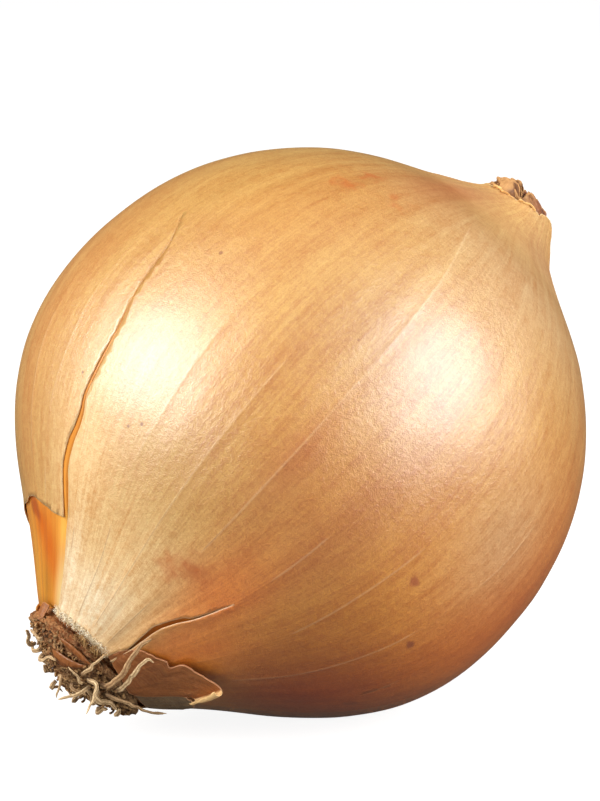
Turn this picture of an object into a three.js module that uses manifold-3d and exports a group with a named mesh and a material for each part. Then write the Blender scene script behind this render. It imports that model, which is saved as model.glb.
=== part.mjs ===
// A mature yellow bulb onion, lying on the flat spot near its root end.
// Millimetres, +Z up. The origin is the middle of the flat spot that it rests on.
//
// The onion is described about its own axis, in a frame whose centre is the middle of
// the round body and whose +Z runs out through the neck. There a place on the skin is
// given by two angles in degrees and a lift: "polar" is measured from the neck (0) to
// the roots (180), "around" goes round the axis from the underside (0), and "lift" is
// the height above the skin's surface.

import * as THREE from 'three';
import Module from 'manifold-3d';
import { mergeVertices } from 'three/addons/utils/BufferGeometryUtils.js';

const wasm = await Module();
wasm.setup();

// ---------- driving dimensions ----------

// the round body: one radius, a low swelling towards the roots, a taper to the root
// plate and the start of the neck, each as [height, middle in degrees, width in degrees]
const BODY_RADIUS = 37.56;
const ROOT_SWELL = [0.87, 112.8, 18.7];
const ROOT_TAPER = [7.57, 180, 18.6];
const NECK_RISE = [4.24, 0, 15];
// a bulb is never quite round: three shallow lobes, with one on the underside
const LOBE_HEIGHT = 0.35;
const LOBE_COUNT = 3;
const LOBE_TURN = -10.5;

// how it lies
const AXIS_LEAN = 41; // of the neck end above the floor
const FLAT_DEPTH = 0.64; // how much of the round side the flat spot takes away

// the layers
const SKIN_THICKNESS = 0.6;
const GAP = 0.4; // between pieces that touch in the real onion

// the neck: [height along the axis, radius], and its lean to one side
const NECK = [[37.0, 11.4], [38.3, 9.4], [39.6, 7.85], [41.2, 6.2], [42.4, 5.4], [44.6, 3.9]];
const NECK_SIDE = -26.5;
const NECK_SHIFT = 1.0;
const LIP_HEIGHT = 42.8;
const LIP_SLANT = 1.5; // the torn lip is this much higher on the side it leans to

// the root end
const COLLAR = 166.8; // polar angle of the skin's torn edge round the root plate
const COLLAR_WAVE = 0.4;
const PLATE_RADIUS = 9.5;
const PLATE_WAIST = 8.5;
const PLATE_TOP = -40.5;
const PLATE_RIM = -41.8;
const PLATE_BOTTOM = -46.6;
const PLATE_CONE = 1.1; // 1 is a straight cone, more is a fuller dome
const ROOT_LENGTHS = [2.6, 5.2];
const ROOT_RADII = [0.26, 0.4];
const LOOSE_ROOTS = 16;
const ROOT_CURL = 4.4; // how quickly a root turns over to lie along the plate
const ROOT_TURN = 203; // where the first loose root stands round the plate
const GOLDEN_TURN = 137.508; // from each loose root to the next
const ROOTED_RADIUS = 8.1;
const LEAF_BASE_ACROSS = [4.6, 8.4]; // the old leaf base on the plate, from the axis
const LEAF_BASE_AROUND = [208, 243];
const FLOOR_CLEARANCE = 2.7; // under this height a root turns away from the floor

// how finely the surfaces are divided
const SKIN_SIDES = 48;
const INNER_SIDES = 40;
const ROOT_SIDES = 7;
const ROOT_STEPS = 10;
const ROUTE_STEPS = 7;

// ---------- the shape of the body ----------

const rad = THREE.MathUtils.degToRad;

function bump(value, [height, middle, width]) {
  return height * Math.exp(-(((value - middle) / width) ** 2));
}

function lobes(polar, around) {
  const turn = rad(LOBE_COUNT * around + LOBE_TURN);
  return LOBE_HEIGHT * Math.sin(rad(polar)) ** 2 * Math.cos(turn);
}

function skinRadius(polar, around) {
  const round = BODY_RADIUS + bump(polar, ROOT_SWELL) + bump(polar, ROOT_TAPER);
  return round + bump(polar, NECK_RISE) + lobes(polar, around);
}

function polarPoint(radius, polar, around) {
  const across = radius * Math.sin(rad(polar));
  return new THREE.Vector3(
    across * Math.cos(rad(around)),
    across * Math.sin(rad(around)),
    radius * Math.cos(rad(polar)),
  );
}

function onSkin(polar, around, lift) {
  return polarPoint(skinRadius(polar, around) + lift, polar, around);
}

function neckRadius(height) {
  const next = NECK.findIndex(([z]) => z >= height);
  if (next <= 0) return next === 0 ? NECK[0][1] : NECK.at(-1)[1];
  const [[z0, r0], [z1, r1]] = [NECK[next - 1], NECK[next]];
  return THREE.MathUtils.mapLinear(height, z0, z1, r0, r1);
}

function inNeck(height, around, radius) {
  const shift = NECK_SHIFT * THREE.MathUtils.smoothstep(height, NECK[0][0], NECK[3][0]);
  return new THREE.Vector3(
    radius * Math.cos(rad(around)) + shift * Math.cos(rad(NECK_SIDE)),
    radius * Math.sin(rad(around)) + shift * Math.sin(rad(NECK_SIDE)),
    height,
  );
}

function lipHeight(around) {
  const torn = 0.25 * Math.sin(rad(5 * around)) + 0.2 * Math.cos(rad(9 * around));
  return LIP_HEIGHT + LIP_SLANT * Math.cos(rad(around - NECK_SIDE)) + torn;
}

// the height of the root plate's blunt face at a distance from the axis
function plateFace(across) {
  const rise = (PLATE_RIM - 0.9 - PLATE_BOTTOM) * (across / PLATE_RADIUS) ** PLATE_CONE;
  return PLATE_BOTTOM + rise;
}

// ---------- where the body lies ----------

const DOWN = new THREE.Vector3(Math.cos(rad(AXIS_LEAN)), 0, -Math.sin(rad(AXIS_LEAN)));

// the lowest place of the skin decides the height and the origin
function lowestPlace() {
  let lowest = new THREE.Vector3();
  for (let polar = 110; polar <= 150; polar += 0.5) {
    for (let around = -20; around <= 20; around += 1) {
      const place = onSkin(polar, around, 0);
      if (place.dot(DOWN) > lowest.dot(DOWN)) lowest = place;
    }
  }
  return lowest;
}

const onion = new THREE.Group();
const lying = new THREE.Group();
lying.rotation.y = rad(90 - AXIS_LEAN);
lying.updateMatrix();
const contact = lowestPlace().applyMatrix4(lying.matrix);
lying.position.set(-contact.x, -contact.y, -contact.z - FLAT_DEPTH);
lying.updateMatrix();
onion.add(lying);

function heightAboveFloor(place) {
  return place.clone().applyMatrix4(lying.matrix).z;
}

// ---------- making closed meshes ----------

function closedGeometry(points, faces) {
  const geometry = new THREE.BufferGeometry();
  geometry.setFromPoints(points);
  geometry.setIndex(faces.flat());
  return geometry;
}

function signedVolume(points, faces) {
  const normal = new THREE.Vector3();
  let volume = 0;
  for (const [a, b, c] of faces) {
    normal.crossVectors(points[b], points[c]);
    volume += points[a].dot(normal) / 6;
  }
  return volume;
}

function facingOut(points, faces) {
  if (signedVolume(points, faces) > 0) return faces;
  return faces.map(([a, b, c]) => [a, c, b]);
}

// rings of points, one after the other, joined into a tube and closed at both ends
function loft(rings) {
  const sides = rings[0].length;
  const points = rings.flat();
  const faces = [];
  for (let ring = 0; ring < rings.length - 1; ring += 1) {
    for (let side = 0; side < sides; side += 1) {
      const a = ring * sides + side;
      const b = ring * sides + ((side + 1) % sides);
      faces.push([a, b, a + sides], [b, b + sides, a + sides]);
    }
  }
  for (const end of [0, rings.length - 1]) {
    const middle = new THREE.Vector3();
    rings[end].forEach((point) => middle.addScaledVector(point, 1 / sides));
    points.push(middle);
    for (let side = 0; side < sides; side += 1) {
      const a = end * sides + side;
      const b = end * sides + ((side + 1) % sides);
      faces.push(end === 0 ? [b, a, points.length - 1] : [a, b, points.length - 1]);
    }
  }
  return closedGeometry(points, facingOut(points, faces));
}

// a thin sheet: place(s, t, side) gives its lower (0) and upper (1) faces, s and t 0..1
function sheet(place, rows, columns) {
  const points = [];
  const faces = [];
  const index = (row, column, side) => (row * (columns + 1) + column) * 2 + side;
  for (let row = 0; row <= rows; row += 1) {
    for (let column = 0; column <= columns; column += 1) {
      points.push(place(row / rows, column / columns, 0));
      points.push(place(row / rows, column / columns, 1));
    }
  }
  const quad = (a, b, c, d) => faces.push([a, b, c], [a, c, d]);
  for (let row = 0; row < rows; row += 1) {
    for (let column = 0; column < columns; column += 1) {
      const corners = [[row, column], [row + 1, column], [row + 1, column + 1], [row, column + 1]];
      quad(...corners.map(([r, c]) => index(r, c, 1)));
      quad(...corners.reverse().map(([r, c]) => index(r, c, 0)));
    }
  }
  const wall = (r0, c0, r1, c1) =>
    quad(index(r0, c0, 0), index(r1, c1, 0), index(r1, c1, 1), index(r0, c0, 1));
  for (let row = 0; row < rows; row += 1) {
    wall(row, 0, row + 1, 0);
    wall(row + 1, columns, row, columns);
  }
  for (let column = 0; column < columns; column += 1) {
    wall(0, column + 1, 0, column);
    wall(rows, column, rows, column + 1);
  }
  return closedGeometry(points, facingOut(points, faces));
}

function toSolid(geometry) {
  const bare = geometry.clone();
  bare.deleteAttribute('normal');
  bare.deleteAttribute('uv');
  const merged = mergeVertices(bare, 1e-4);
  return new wasm.Manifold(new wasm.Mesh({
    numProp: 3,
    vertProperties: new Float32Array(merged.attributes.position.array),
    triVerts: new Uint32Array(merged.index.array),
  }));
}

function toGeometry(solid) {
  const mesh = solid.getMesh();
  const geometry = new THREE.BufferGeometry();
  geometry.setAttribute('position', new THREE.BufferAttribute(mesh.vertProperties, 3));
  geometry.setIndex(new THREE.BufferAttribute(mesh.triVerts, 1));
  return geometry;
}

function addPiece(name, geometry, color, roughness) {
  const shaded = geometry.toNonIndexed();
  shaded.computeVertexNormals();
  const material = new THREE.MeshStandardMaterial({ color, roughness, metalness: 0 });
  material.name = name;
  const mesh = new THREE.Mesh(shaded, material);
  mesh.name = name;
  lying.add(mesh);
}

// everything below a height above the floor, as a block in the onion's own frame
function belowFloor(height) {
  const side = 80;
  const block = new THREE.BoxGeometry(side, side, side);
  block.translate(0, 0, height - side / 2);
  block.applyMatrix4(lying.matrix.clone().invert());
  return toSolid(block);
}

// a cutter that goes straight in towards the centre, from an outline of
// [polar, around] corners on the skin
function inwardCutter(outline) {
  const shape = new THREE.Shape(outline.map(([polar, around]) => new THREE.Vector2(polar, around)));
  const inner = BODY_RADIUS - 8;
  const outer = BODY_RADIUS + 12;
  const prism = new THREE.ExtrudeGeometry(shape, { depth: outer - inner, bevelEnabled: false });
  const places = prism.attributes.position;
  for (let i = 0; i < places.count; i += 1) {
    const place = polarPoint(inner + places.getZ(i), places.getX(i), places.getY(i));
    places.setXYZ(i, place.x, place.y, place.z);
  }
  return toSolid(prism);
}

// ---------- outer skin ----------

// one ring of the body at a lift under or over the skin's surface
function bodyRing(lift, sides, polar, wave = 0) {
  const ring = [];
  for (let side = 0; side < sides; side += 1) {
    const around = (360 * side) / sides;
    ring.push(onSkin(polar + wave * Math.sin(rad(5 * around)), around, lift));
  }
  return ring;
}

function bodyRings(lift, sides, fromPolar, toPolar, steps) {
  const rings = [];
  for (let step = 0; step <= steps; step += 1) {
    const polar = THREE.MathUtils.lerp(fromPolar, toPolar, step / steps);
    rings.push(bodyRing(lift, sides, polar, step === steps ? COLLAR_WAVE : 0));
  }
  return rings;
}

function neckRings(lift, sides, topHeight) {
  const rings = [];
  const steps = 6;
  for (let step = 0; step <= steps; step += 1) {
    const ring = [];
    for (let side = 0; side < sides; side += 1) {
      const around = (360 * side) / sides;
      const height = THREE.MathUtils.lerp(topHeight(around), NECK[0][0], step / steps);
      ring.push(inNeck(height, around, neckRadius(height) + lift));
    }
    rings.push(ring);
  }
  return rings;
}

// the crack that runs up from the window in the skin: [polar, around, half width]
const CRACK = [
  [149, 196, 1.6], [142, 194.8, 1.6], [138, 194.1, 1.35], [133, 195.2, 1.2], [129, 196.7, 0.95],
  [124, 196.7, 0.6], [118, 197.3, 0.55], [110, 197.5, 0.42], [104, 196.3, 0.32],
  [98, 195.2, 0.2], [89, 192.9, 0.15], [82, 188.3, 0.1],
];
const WINDOW = [
  [170, 198.5], [157, 198.3], [148.7, 197.4], [149, 191], [148.3, 178], [147.5, 168],
  [148.2, 159], [150, 158], [152, 165], [152.3, 150], [152.4, 138], [155, 129], [160, 127],
  [164, 131], [166.5, 141], [170, 147],
];
// the split beside the flake, where the skin has torn and lifted
const SPLIT = [
  [168.5, 250.5], [164.8, 254], [160, 255.8], [155.3, 254.6], [150.9, 256.4], [146.4, 259.9],
  [142, 261.3], [144.7, 261.6], [148.9, 260.1], [154.8, 259.3], [159.5, 258.4], [163, 259],
  [168.5, 257],
];

function makeOuterSkin() {
  const fromPolar = 22;
  const steps = 24;
  const outside = [
    ...neckRings(0, SKIN_SIDES, lipHeight),
    ...bodyRings(0, SKIN_SIDES, fromPolar, COLLAR, steps),
  ];
  const inside = [
    ...neckRings(-SKIN_THICKNESS, INNER_SIDES, () => NECK.at(-1)[0] + 3),
    ...bodyRings(-SKIN_THICKNESS, INNER_SIDES, fromPolar, COLLAR, steps),
    bodyRing(GAP + 6, INNER_SIDES, COLLAR),
  ];
  const hollow = toSolid(loft(inside)).subtract(belowFloor(SKIN_THICKNESS));
  const crack = [
    ...CRACK.map(([polar, around, half]) => [polar, around - half]),
    ...CRACK.toReversed().map(([polar, around, half]) => [polar, around + half]),
  ];
  let skin = toSolid(loft(outside)).subtract(belowFloor(0)).subtract(hollow);
  for (const outline of [WINDOW, crack, SPLIT]) skin = skin.subtract(inwardCutter(outline));
  addPiece('outer_skin', toGeometry(skin), 0xd9a05c, 0.42);
}

// ---------- bulb inside the skin ----------

function makeBulb() {
  const depth = SKIN_THICKNESS + GAP;
  const crown = [];
  for (const polar of [6, 12, 17]) {
    const ring = [];
    for (let side = 0; side < INNER_SIDES; side += 1) {
      const around = (360 * side) / INNER_SIDES;
      const radius = skinRadius(polar, around) - depth - bump(polar, NECK_RISE) / 2;
      ring.push(polarPoint(radius, polar, around));
    }
    crown.push(ring);
  }
  const rings = [...crown, ...bodyRings(-depth, INNER_SIDES, 22, COLLAR - 0.4, 22)];
  const bulb = toSolid(loft(rings)).subtract(belowFloor(depth));
  addPiece('bulb', toGeometry(bulb), 0xdb8a2c, 0.3);
}

// ---------- dried neck ----------

// a rough ring in the neck, for the dried leaves
function driedRing(height, radius, waves, roughness) {
  const ring = [];
  const sides = 20;
  for (let side = 0; side < sides; side += 1) {
    const around = (360 * side) / sides;
    const fold = 1 + roughness * Math.sin(rad(waves * around + 40 * height));
    ring.push(inNeck(height, around, radius * fold));
  }
  return ring;
}

function makeNeck() {
  const outside = [[39.2, 4.7], [41, 4.4], [42.6, 4.0], [43.8, 3.4], [44.7, 2.9]];
  const inside = outside.map(([height, radius]) => [height, radius - 0.55]);
  inside[0][0] -= 1;
  inside.at(-1)[0] += 1;
  const wall = outside.map(([height, radius]) => driedRing(height, radius, 6, 0.04));
  const mouth = inside.map(([height, radius]) => driedRing(height, radius, 6, 0.04));
  const sheath = toSolid(loft(wall)).subtract(toSolid(loft(mouth)));
  addPiece('neck_sheath', toGeometry(sheath), 0xc99a5b, 0.75);

  const core = [[39.4, 3.4], [41.2, 3.1], [42.8, 2.6], [44, 2.1], [44.9, 1.6], [45.4, 1.0]];
  const folded = core.map(([height, radius]) => driedRing(height, radius, 3, 0.08));
  addPiece('neck_core', loft(folded), 0x8a5a30, 0.85);
}

// ---------- root plate ----------

function makeRootPlate() {
  const outline = [
    [PLATE_TOP, PLATE_WAIST - 1.2], [PLATE_TOP - 0.1, PLATE_WAIST], [PLATE_RIM + 0.2, PLATE_WAIST],
    [PLATE_RIM, PLATE_RADIUS - 0.5], [PLATE_RIM - 0.9, PLATE_RADIUS],
  ];
  for (const across of [8.6, 7, 5.2, 3.2, 1.2]) outline.push([plateFace(across), across]);
  const sides = 32;
  const rings = outline.map(([height, radius], step) => {
    const ring = [];
    for (let side = 0; side < sides; side += 1) {
      const around = (360 * side) / sides;
      const rough = step > 2 && step < 8 ? 0.2 * Math.sin(rad(7 * around + 50 * step)) : 0;
      ring.push(new THREE.Vector3(
        (radius + rough) * Math.cos(rad(around)),
        (radius + rough) * Math.sin(rad(around)),
        height,
      ));
    }
    return ring;
  });
  addPiece('root_plate', loft(rings), 0x8d6238, 0.9);
}

// ---------- papery flakes round the root end ----------

// a flake is a patch between four edges, each a list of [polar, around]; the edge at
// the roots and the free edge run the same way round, left and right join them
function patch(rootEdge, freeEdge, left, right) {
  const curve = (places) => new THREE.SplineCurve(places.map(([x, y]) => new THREE.Vector2(x, y)));
  const [root, free, start, end] = [rootEdge, freeEdge, left, right].map(curve);
  return (s, t) => {
    const across = root.getPoint(s).lerp(free.getPoint(s), t);
    const along = start.getPoint(t).lerp(end.getPoint(t), s);
    const near = new THREE.Vector2(...rootEdge[0]).lerp(new THREE.Vector2(...rootEdge.at(-1)), s);
    const far = new THREE.Vector2(...freeEdge[0]).lerp(new THREE.Vector2(...freeEdge.at(-1)), s);
    return across.add(along).sub(near.lerp(far, t));
  };
}

function makeFlake(name, edges, lift, thickness, rows, columns, color) {
  const place = patch(...edges);
  const geometry = sheet((s, t, side) => {
    const { x: polar, y: around } = place(s, t);
    return onSkin(polar, around, lift(s, t) + side * thickness);
  }, rows, columns);
  addPiece(name, geometry, color, 0.6);
}

function makeFlakes() {
  const flakeEdges = [
    [[166, 253], [165.6, 266], [165.4, 280], [166.2, 290], [165.8, 298]],
    [[162.6, 256], [159.2, 261], [158.1, 269], [156.6, 276.8], [153.6, 283], [150.6, 291]],
    [[166, 253], [162.6, 256]],
    [[165.8, 298], [160.6, 296.6], [157.2, 298.6], [154.4, 296.6], [150.6, 291]],
  ];
  const flakeLift = (s, t) => GAP + 0.4 * s + 1.1 * s ** 2 * t;
  makeFlake('basal_flake', flakeEdges, flakeLift, 0.45, 14, 6, 0xb0683c);

  const undersideEdges = [
    [[165.2, 313.5], [165.4, 323], [165.2, 334]],
    [[160.4, 315], [159, 324], [160.4, 332]],
    [[165.2, 313.5], [160.4, 315]],
    [[165.2, 334], [160.4, 332]],
  ];
  makeFlake('underside_scrap', undersideEdges, (s, t) => GAP + 0.5 * t * s, 0.45, 6, 4, 0x8c7048);

  const curlEdges = [
    [[164.8, 144], [164.6, 150], [164.8, 157]],
    [[168.6, 146.5], [169.2, 151], [168.8, 155.5]],
    [[164.8, 144], [168.6, 146.5]],
    [[164.8, 157], [168.8, 155.5]],
  ];
  makeFlake('collar_curl', curlEdges, (s, t) => GAP + 2.6 * t ** 1.1, 0.4, 4, 5, 0xb8692e);

  const rearEdges = [
    [[165, 44], [164.8, 60], [165, 80]],
    [[159, 48], [155.6, 62], [159.6, 76]],
    [[165, 44], [159, 48]],
    [[165, 80], [159.6, 76]],
  ];
  makeFlake('rear_scrap', rearEdges, (s, t) => GAP + 1.1 * t ** 2 * (1 - s), 0.45, 7, 4, 0xa8683c);

  // the brown stump of an old leaf that lies across the face of the root plate
  const stump = sheet((s, t, side) => {
    const across = THREE.MathUtils.lerp(...LEAF_BASE_ACROSS, 1 - t);
    const around = THREE.MathUtils.lerp(...LEAF_BASE_AROUND, s) + 4 * t * (1 - 2 * s);
    const crown = 0.5 * Math.sin(Math.PI * s) * Math.sin(Math.PI * Math.min(1, t + 0.1));
    const out = GAP + side * (0.5 + crown);
    const height = plateFace(across) - out;
    return new THREE.Vector3(
      across * Math.cos(rad(around)), across * Math.sin(rad(around)), height);
  }, 6, 4);
  addPiece('leaf_base_scale', stump, 0x9b5a30, 0.7);
}

// ---------- roots ----------

// a dried root: rings along a smooth route, thinner towards the tip
function rootAlong(places, radius) {
  const curve = new THREE.CatmullRomCurve3(places);
  const frames = curve.computeFrenetFrames(ROOT_STEPS, false);
  const rings = [];
  for (let step = 0; step <= ROOT_STEPS; step += 1) {
    const along = step / ROOT_STEPS;
    const middle = curve.getPointAt(along);
    const thick = radius * (1 - 0.45 * along ** 1.5);
    const ring = [];
    for (let side = 0; side < ROOT_SIDES; side += 1) {
      const turn = (2 * Math.PI * side) / ROOT_SIDES;
      const point = middle.clone();
      point.addScaledVector(frames.normals[step], thick * Math.cos(turn));
      point.addScaledVector(frames.binormals[step], thick * Math.sin(turn));
      ring.push(point);
    }
    rings.push(ring);
  }
  return loft(rings);
}

// the roots that lie over the flake and along the plate: radius, then the route as
// [polar, around, lift] places from the plate outwards
const PLACED_ROOTS = [
  [0.28, [171.4, 250.5, 1.7], [169.1, 249.7, 2.0], [166.6, 249.6, 1.9], [165.4, 249.6, 1.3]],
  [0.42, [169.8, 268.6, 1.9], [168.3, 268.8, 2.4], [165.7, 265.8, 2.6], [163.5, 262.6, 2.4],
    [161.1, 259.4, 2.1], [158.5, 257.4, 1.7], [156, 257.6, 1.2]],
  [0.38, [167.9, 276.6, 2.1], [166.6, 274, 2.5], [165.1, 271.3, 2.6], [163.4, 268.4, 2.5],
    [162.2, 266.6, 2.5], [160.3, 264.8, 2.2], [158.7, 264.4, 2.1], [158.3, 266.8, 2.2]],
  [0.3, [171, 257, 2.1], [169.4, 261.5, 2.9], [170.2, 267.5, 3.8], [171.2, 272.2, 4.6],
    [171.8, 275.4, 5.4]],
  [0.26, [171.9, 265, 2.0], [173, 262.5, 3.2], [174.6, 259.5, 3.8], [176.2, 255, 4.1]],
  [0.27, [170.4, 279.5, 1.9], [169.3, 282.5, 2.3], [167.8, 289.5, 2.4], [166.1, 301.6, 2.3],
    [164.2, 312.4, 1.9], [163.2, 317, 1.6]],
  [0.27, [172.8, 256, 2.0], [171.2, 252.4, 3.1], [170.1, 246.5, 3.6], [170, 236.2, 3.5]],
  [0.26, [175.4, 228, 2.0], [173.2, 236, 3.3], [173.6, 243, 4.3], [174.6, 247, 5]],
];

// a repeatable number between 0 and 1 for each root and use
function mixed(root, use) {
  const wave = Math.sin(12.9898 * (root + 1) + 78.233 * (use + 1)) * 43758.5453;
  return wave - Math.floor(wave);
}

// where a loose root stands on the plate
function rootStart(root) {
  const around = (GOLDEN_TURN * root + ROOT_TURN) % 360;
  const across = ROOTED_RADIUS * Math.sqrt((root + 0.6) / LOOSE_ROOTS);
  return { around, across };
}

// the old leaf base covers a part of the plate's face, where no root grows
function isUnderLeafBase({ around, across }) {
  const [from, to] = LEAF_BASE_AROUND;
  return around > from - 8 && around < to + 8 && across > LEAF_BASE_ACROSS[0] - 0.8;
}

// a loose root leaves the plate, then curls over and follows its face round the axis;
// it bends away from the plate and from the floor
function looseRoute(root) {
  const { around, across } = rootStart(root);
  const place = new THREE.Vector3(Math.cos(rad(around)), Math.sin(rad(around)), 0);
  place.multiplyScalar(across).setZ(plateFace(across) - GAP - ROOT_RADII[1]);
  const spread = THREE.MathUtils.lerp(-0.3, 0.25, mixed(root, 1));
  const swirl = THREE.MathUtils.lerp(-1.1, 1.1, mixed(root, 2));
  const length = THREE.MathUtils.lerp(...ROOT_LENGTHS, mixed(root, 3));
  const heading = new THREE.Vector3(0, 0, -1);
  const route = [place.clone()];
  for (let step = 1; step <= ROUTE_STEPS; step += 1) {
    const outward = new THREE.Vector3(place.x, place.y, 0).normalize();
    const sideways = new THREE.Vector3(-outward.y, outward.x, 0);
    heading.z += ROOT_CURL / ROUTE_STEPS;
    heading.addScaledVector(outward, spread / 2).addScaledVector(sideways, swirl / 2);
    const nearFloor = 1 - heightAboveFloor(place) / FLOOR_CLEARANCE;
    heading.addScaledVector(DOWN, -Math.max(0, 1.5 * nearFloor));
    heading.normalize();
    const nearPlate = plateFace(Math.min(across, PLATE_RADIUS)) - place.z - 2 * GAP;
    if (heading.z > nearPlate) heading.setZ(nearPlate).normalize();
    place.addScaledVector(heading, length / ROUTE_STEPS);
    route.push(place.clone());
  }
  return route;
}

function makeRoots() {
  let number = 0;
  const add = (route, radius) => {
    number += 1;
    const name = `root_${String(number).padStart(2, '0')}`;
    addPiece(name, rootAlong(route, radius), 0xc2a06c, 0.8);
  };
  for (const [radius, ...places] of PLACED_ROOTS) {
    add(places.map(([polar, around, lift]) => onSkin(polar, around, lift)), radius);
  }
  for (let root = 0; root < LOOSE_ROOTS; root += 1) {
    if (isUnderLeafBase(rootStart(root))) continue;
    add(looseRoute(root), THREE.MathUtils.lerp(...ROOT_RADII, mixed(root, 4)));
  }
}

makeOuterSkin();
makeBulb();
makeNeck();
makeRootPlate();
makeFlakes();
makeRoots();

export default onion;
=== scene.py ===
# %% [markdown]
# # A yellow onion, lying on its side
#
# The solid model of the onion is already made. This lesson loads it as a fixed
# frame and dresses it: torn papery skin, the glossy layer under it, the dried neck, the
# root plate and the roots. Lengths in the helpers are millimetres, as a gardener would
# measure them, and every mesh is stored in metres.

# %% Load the frame
import itertools
import math

import bmesh
import bpy
import numpy as np
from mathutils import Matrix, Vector, kdtree
from mathutils.geometry import delaunay_2d_cdt


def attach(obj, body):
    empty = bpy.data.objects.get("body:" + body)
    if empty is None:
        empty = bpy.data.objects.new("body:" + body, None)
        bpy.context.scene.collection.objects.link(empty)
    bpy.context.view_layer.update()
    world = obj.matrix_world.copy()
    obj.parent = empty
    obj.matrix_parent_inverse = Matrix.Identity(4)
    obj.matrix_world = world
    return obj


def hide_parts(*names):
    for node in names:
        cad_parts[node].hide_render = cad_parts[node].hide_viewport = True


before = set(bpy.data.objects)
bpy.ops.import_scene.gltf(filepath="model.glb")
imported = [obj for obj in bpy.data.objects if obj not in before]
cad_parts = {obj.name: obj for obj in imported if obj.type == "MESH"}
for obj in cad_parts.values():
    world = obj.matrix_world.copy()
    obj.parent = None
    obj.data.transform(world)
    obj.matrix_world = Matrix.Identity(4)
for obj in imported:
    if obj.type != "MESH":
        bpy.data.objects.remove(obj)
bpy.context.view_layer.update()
MM = 0.001

# %% [markdown]
# ## The shape that everything follows
#
# An onion is grown in layers round one axis, so nearly every place on it can be given by
# two angles: how far it is from the neck, and how far it is round the axis. One function
# that turns these two angles and a height above the skin into a point is enough to place
# skin, cracks, flakes and roots. The numbers are the ones that the solid model uses.

# %% The round body, in its own upright frame
BODY_RADIUS = 37.56
ROOT_SWELL = (0.87, 112.8, 18.7)    # height in mm, middle and width in degrees
ROOT_TAPER = (7.57, 180, 18.6)
NECK_RISE = (4.24, 0, 15)
LOBE_HEIGHT, LOBE_COUNT, LOBE_TURN = 0.35, 3, -10.5


def bump(value, height, middle, width):
    return height * np.exp(-(((value - middle) / width) ** 2))


def at_turn(radius, around, height, shift=0.0, side=0.0):
    """Places round an axis that stands shift mm to one side of the onion's own axis."""
    turn, side = np.radians(around), math.radians(side)
    return np.stack(np.broadcast_arrays(radius * np.cos(turn) + shift * math.cos(side),
                                        radius * np.sin(turn) + shift * math.sin(side),
                                        height), -1)


def polar_point(radius, polar, around):
    polar = np.radians(polar)
    return at_turn(radius * np.sin(polar), around, radius * np.cos(polar))


def skin_radius(polar, around):
    lobes = LOBE_HEIGHT * np.sin(np.radians(polar)) ** 2
    lobes = lobes * np.cos(np.radians(LOBE_COUNT * around + LOBE_TURN))
    swellings = bump(polar, *ROOT_SWELL) + bump(polar, *ROOT_TAPER) + bump(polar, *NECK_RISE)
    return BODY_RADIUS + swellings + lobes


print("the body is", 2 * round(float(skin_radius(110.0, 0.0)), 1), "mm across at its widest")

# %% The neck that grows out of it, as (height, radius) places
NECK = [(37, 11.4), (38.3, 9.4), (39.6, 7.85), (41.2, 6.2), (42.4, 5.4), (43.2, 4.95),
        (44, 4.3), (44.6, 3.6)]
NECK_SIDE, NECK_SHIFT = -26.5, 1.0  # the way it leans, in degrees round the axis, and how far
NECK_BOW = (42.3, 0.55)             # over this height it leans back, in mm for each mm
NECK_START = math.degrees(math.atan2(NECK[0][1], NECK[0][0]))
MM_PER_DEGREE = 0.66                # along the skin, from the neck to the roots


def smooth_line(points, steps):
    """A Catmull-Rom line through the points, with this many steps between each two."""
    points = np.asarray(points, float)
    padded = np.vstack([2 * points[0] - points[1], points, 2 * points[-1] - points[-2]])
    line = []
    for a, b, c, d in zip(padded, padded[1:], padded[2:], padded[3:]):
        for t in np.arange(steps) / steps:
            line.append(0.5 * (2 * b + (c - a) * t + (2 * a - 5 * b + 4 * c - d) * t**2
                               + (3 * b - a - 3 * c + d) * t**3))
    return np.array(line + [points[-1]])


def lengths_along(line):
    return np.concatenate([[0], np.cumsum(np.linalg.norm(np.diff(line, axis=0), axis=1))])


def evened(line, marks, count):
    """The same line with this many even steps, and how far along each of its places is."""
    even = np.linspace(0, marks[-1], count)
    return np.stack([np.interp(even, marks, column) for column in line.T], -1), even


def unit(vectors):
    return vectors / np.linalg.norm(vectors, axis=-1, keepdims=True)


neck_curve = smooth_line(NECK, 12)
neck_ways = NECK_START - lengths_along(neck_curve) / MM_PER_DEGREE
print("the neck adds", round(float(neck_ways[0] - neck_ways[-1]), 1), "degrees of way to the skin")

# %% Places on the skin, and where the onion lies
# "way" is measured in degrees from the neck to the roots. On the round body it is the
# polar angle; on the neck it goes on at the same length of skin for each degree.
FLAT_DEPTH = 0.64
lean = math.radians(41)             # of the onion's axis, above the floor
TO_WORLD = np.array([[math.sin(lean), 0, math.cos(lean)], [0, 1, 0],
                     [-math.cos(lean), 0, math.sin(lean)]])


def neck_shift(height):
    """How far the neck's middle stands to its side at this height."""
    rise = np.clip((height - NECK[0][0]) / (NECK[3][0] - NECK[0][0]), 0, 1)
    return NECK_SHIFT * rise**2 * (3 - 2 * rise) - NECK_BOW[1] * np.maximum(0, height - NECK_BOW[0])


def skin_base(way, around):
    way, around = np.broadcast_arrays(np.asarray(way, float), np.asarray(around, float))
    body = polar_point(skin_radius(way, around), way, around)
    height, radius = (np.interp(way, neck_ways[::-1], column) for column in neck_curve[::-1].T)
    neck = at_turn(radius, around, height, neck_shift(height), NECK_SIDE)
    return np.where((way < NECK_START)[..., None], neck, body)


def skin_normal(way, around):
    step = 0.3
    along = skin_base(way + step, around) - skin_base(way - step, around)
    aside = skin_base(way, around + step) - skin_base(way, around - step)
    return unit(np.cross(along, aside))


def on_skin(way, around, lift=0.0):
    lift = np.asarray(lift, float)
    return skin_base(way, around) + lift[..., None] * skin_normal(way, around)


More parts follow.
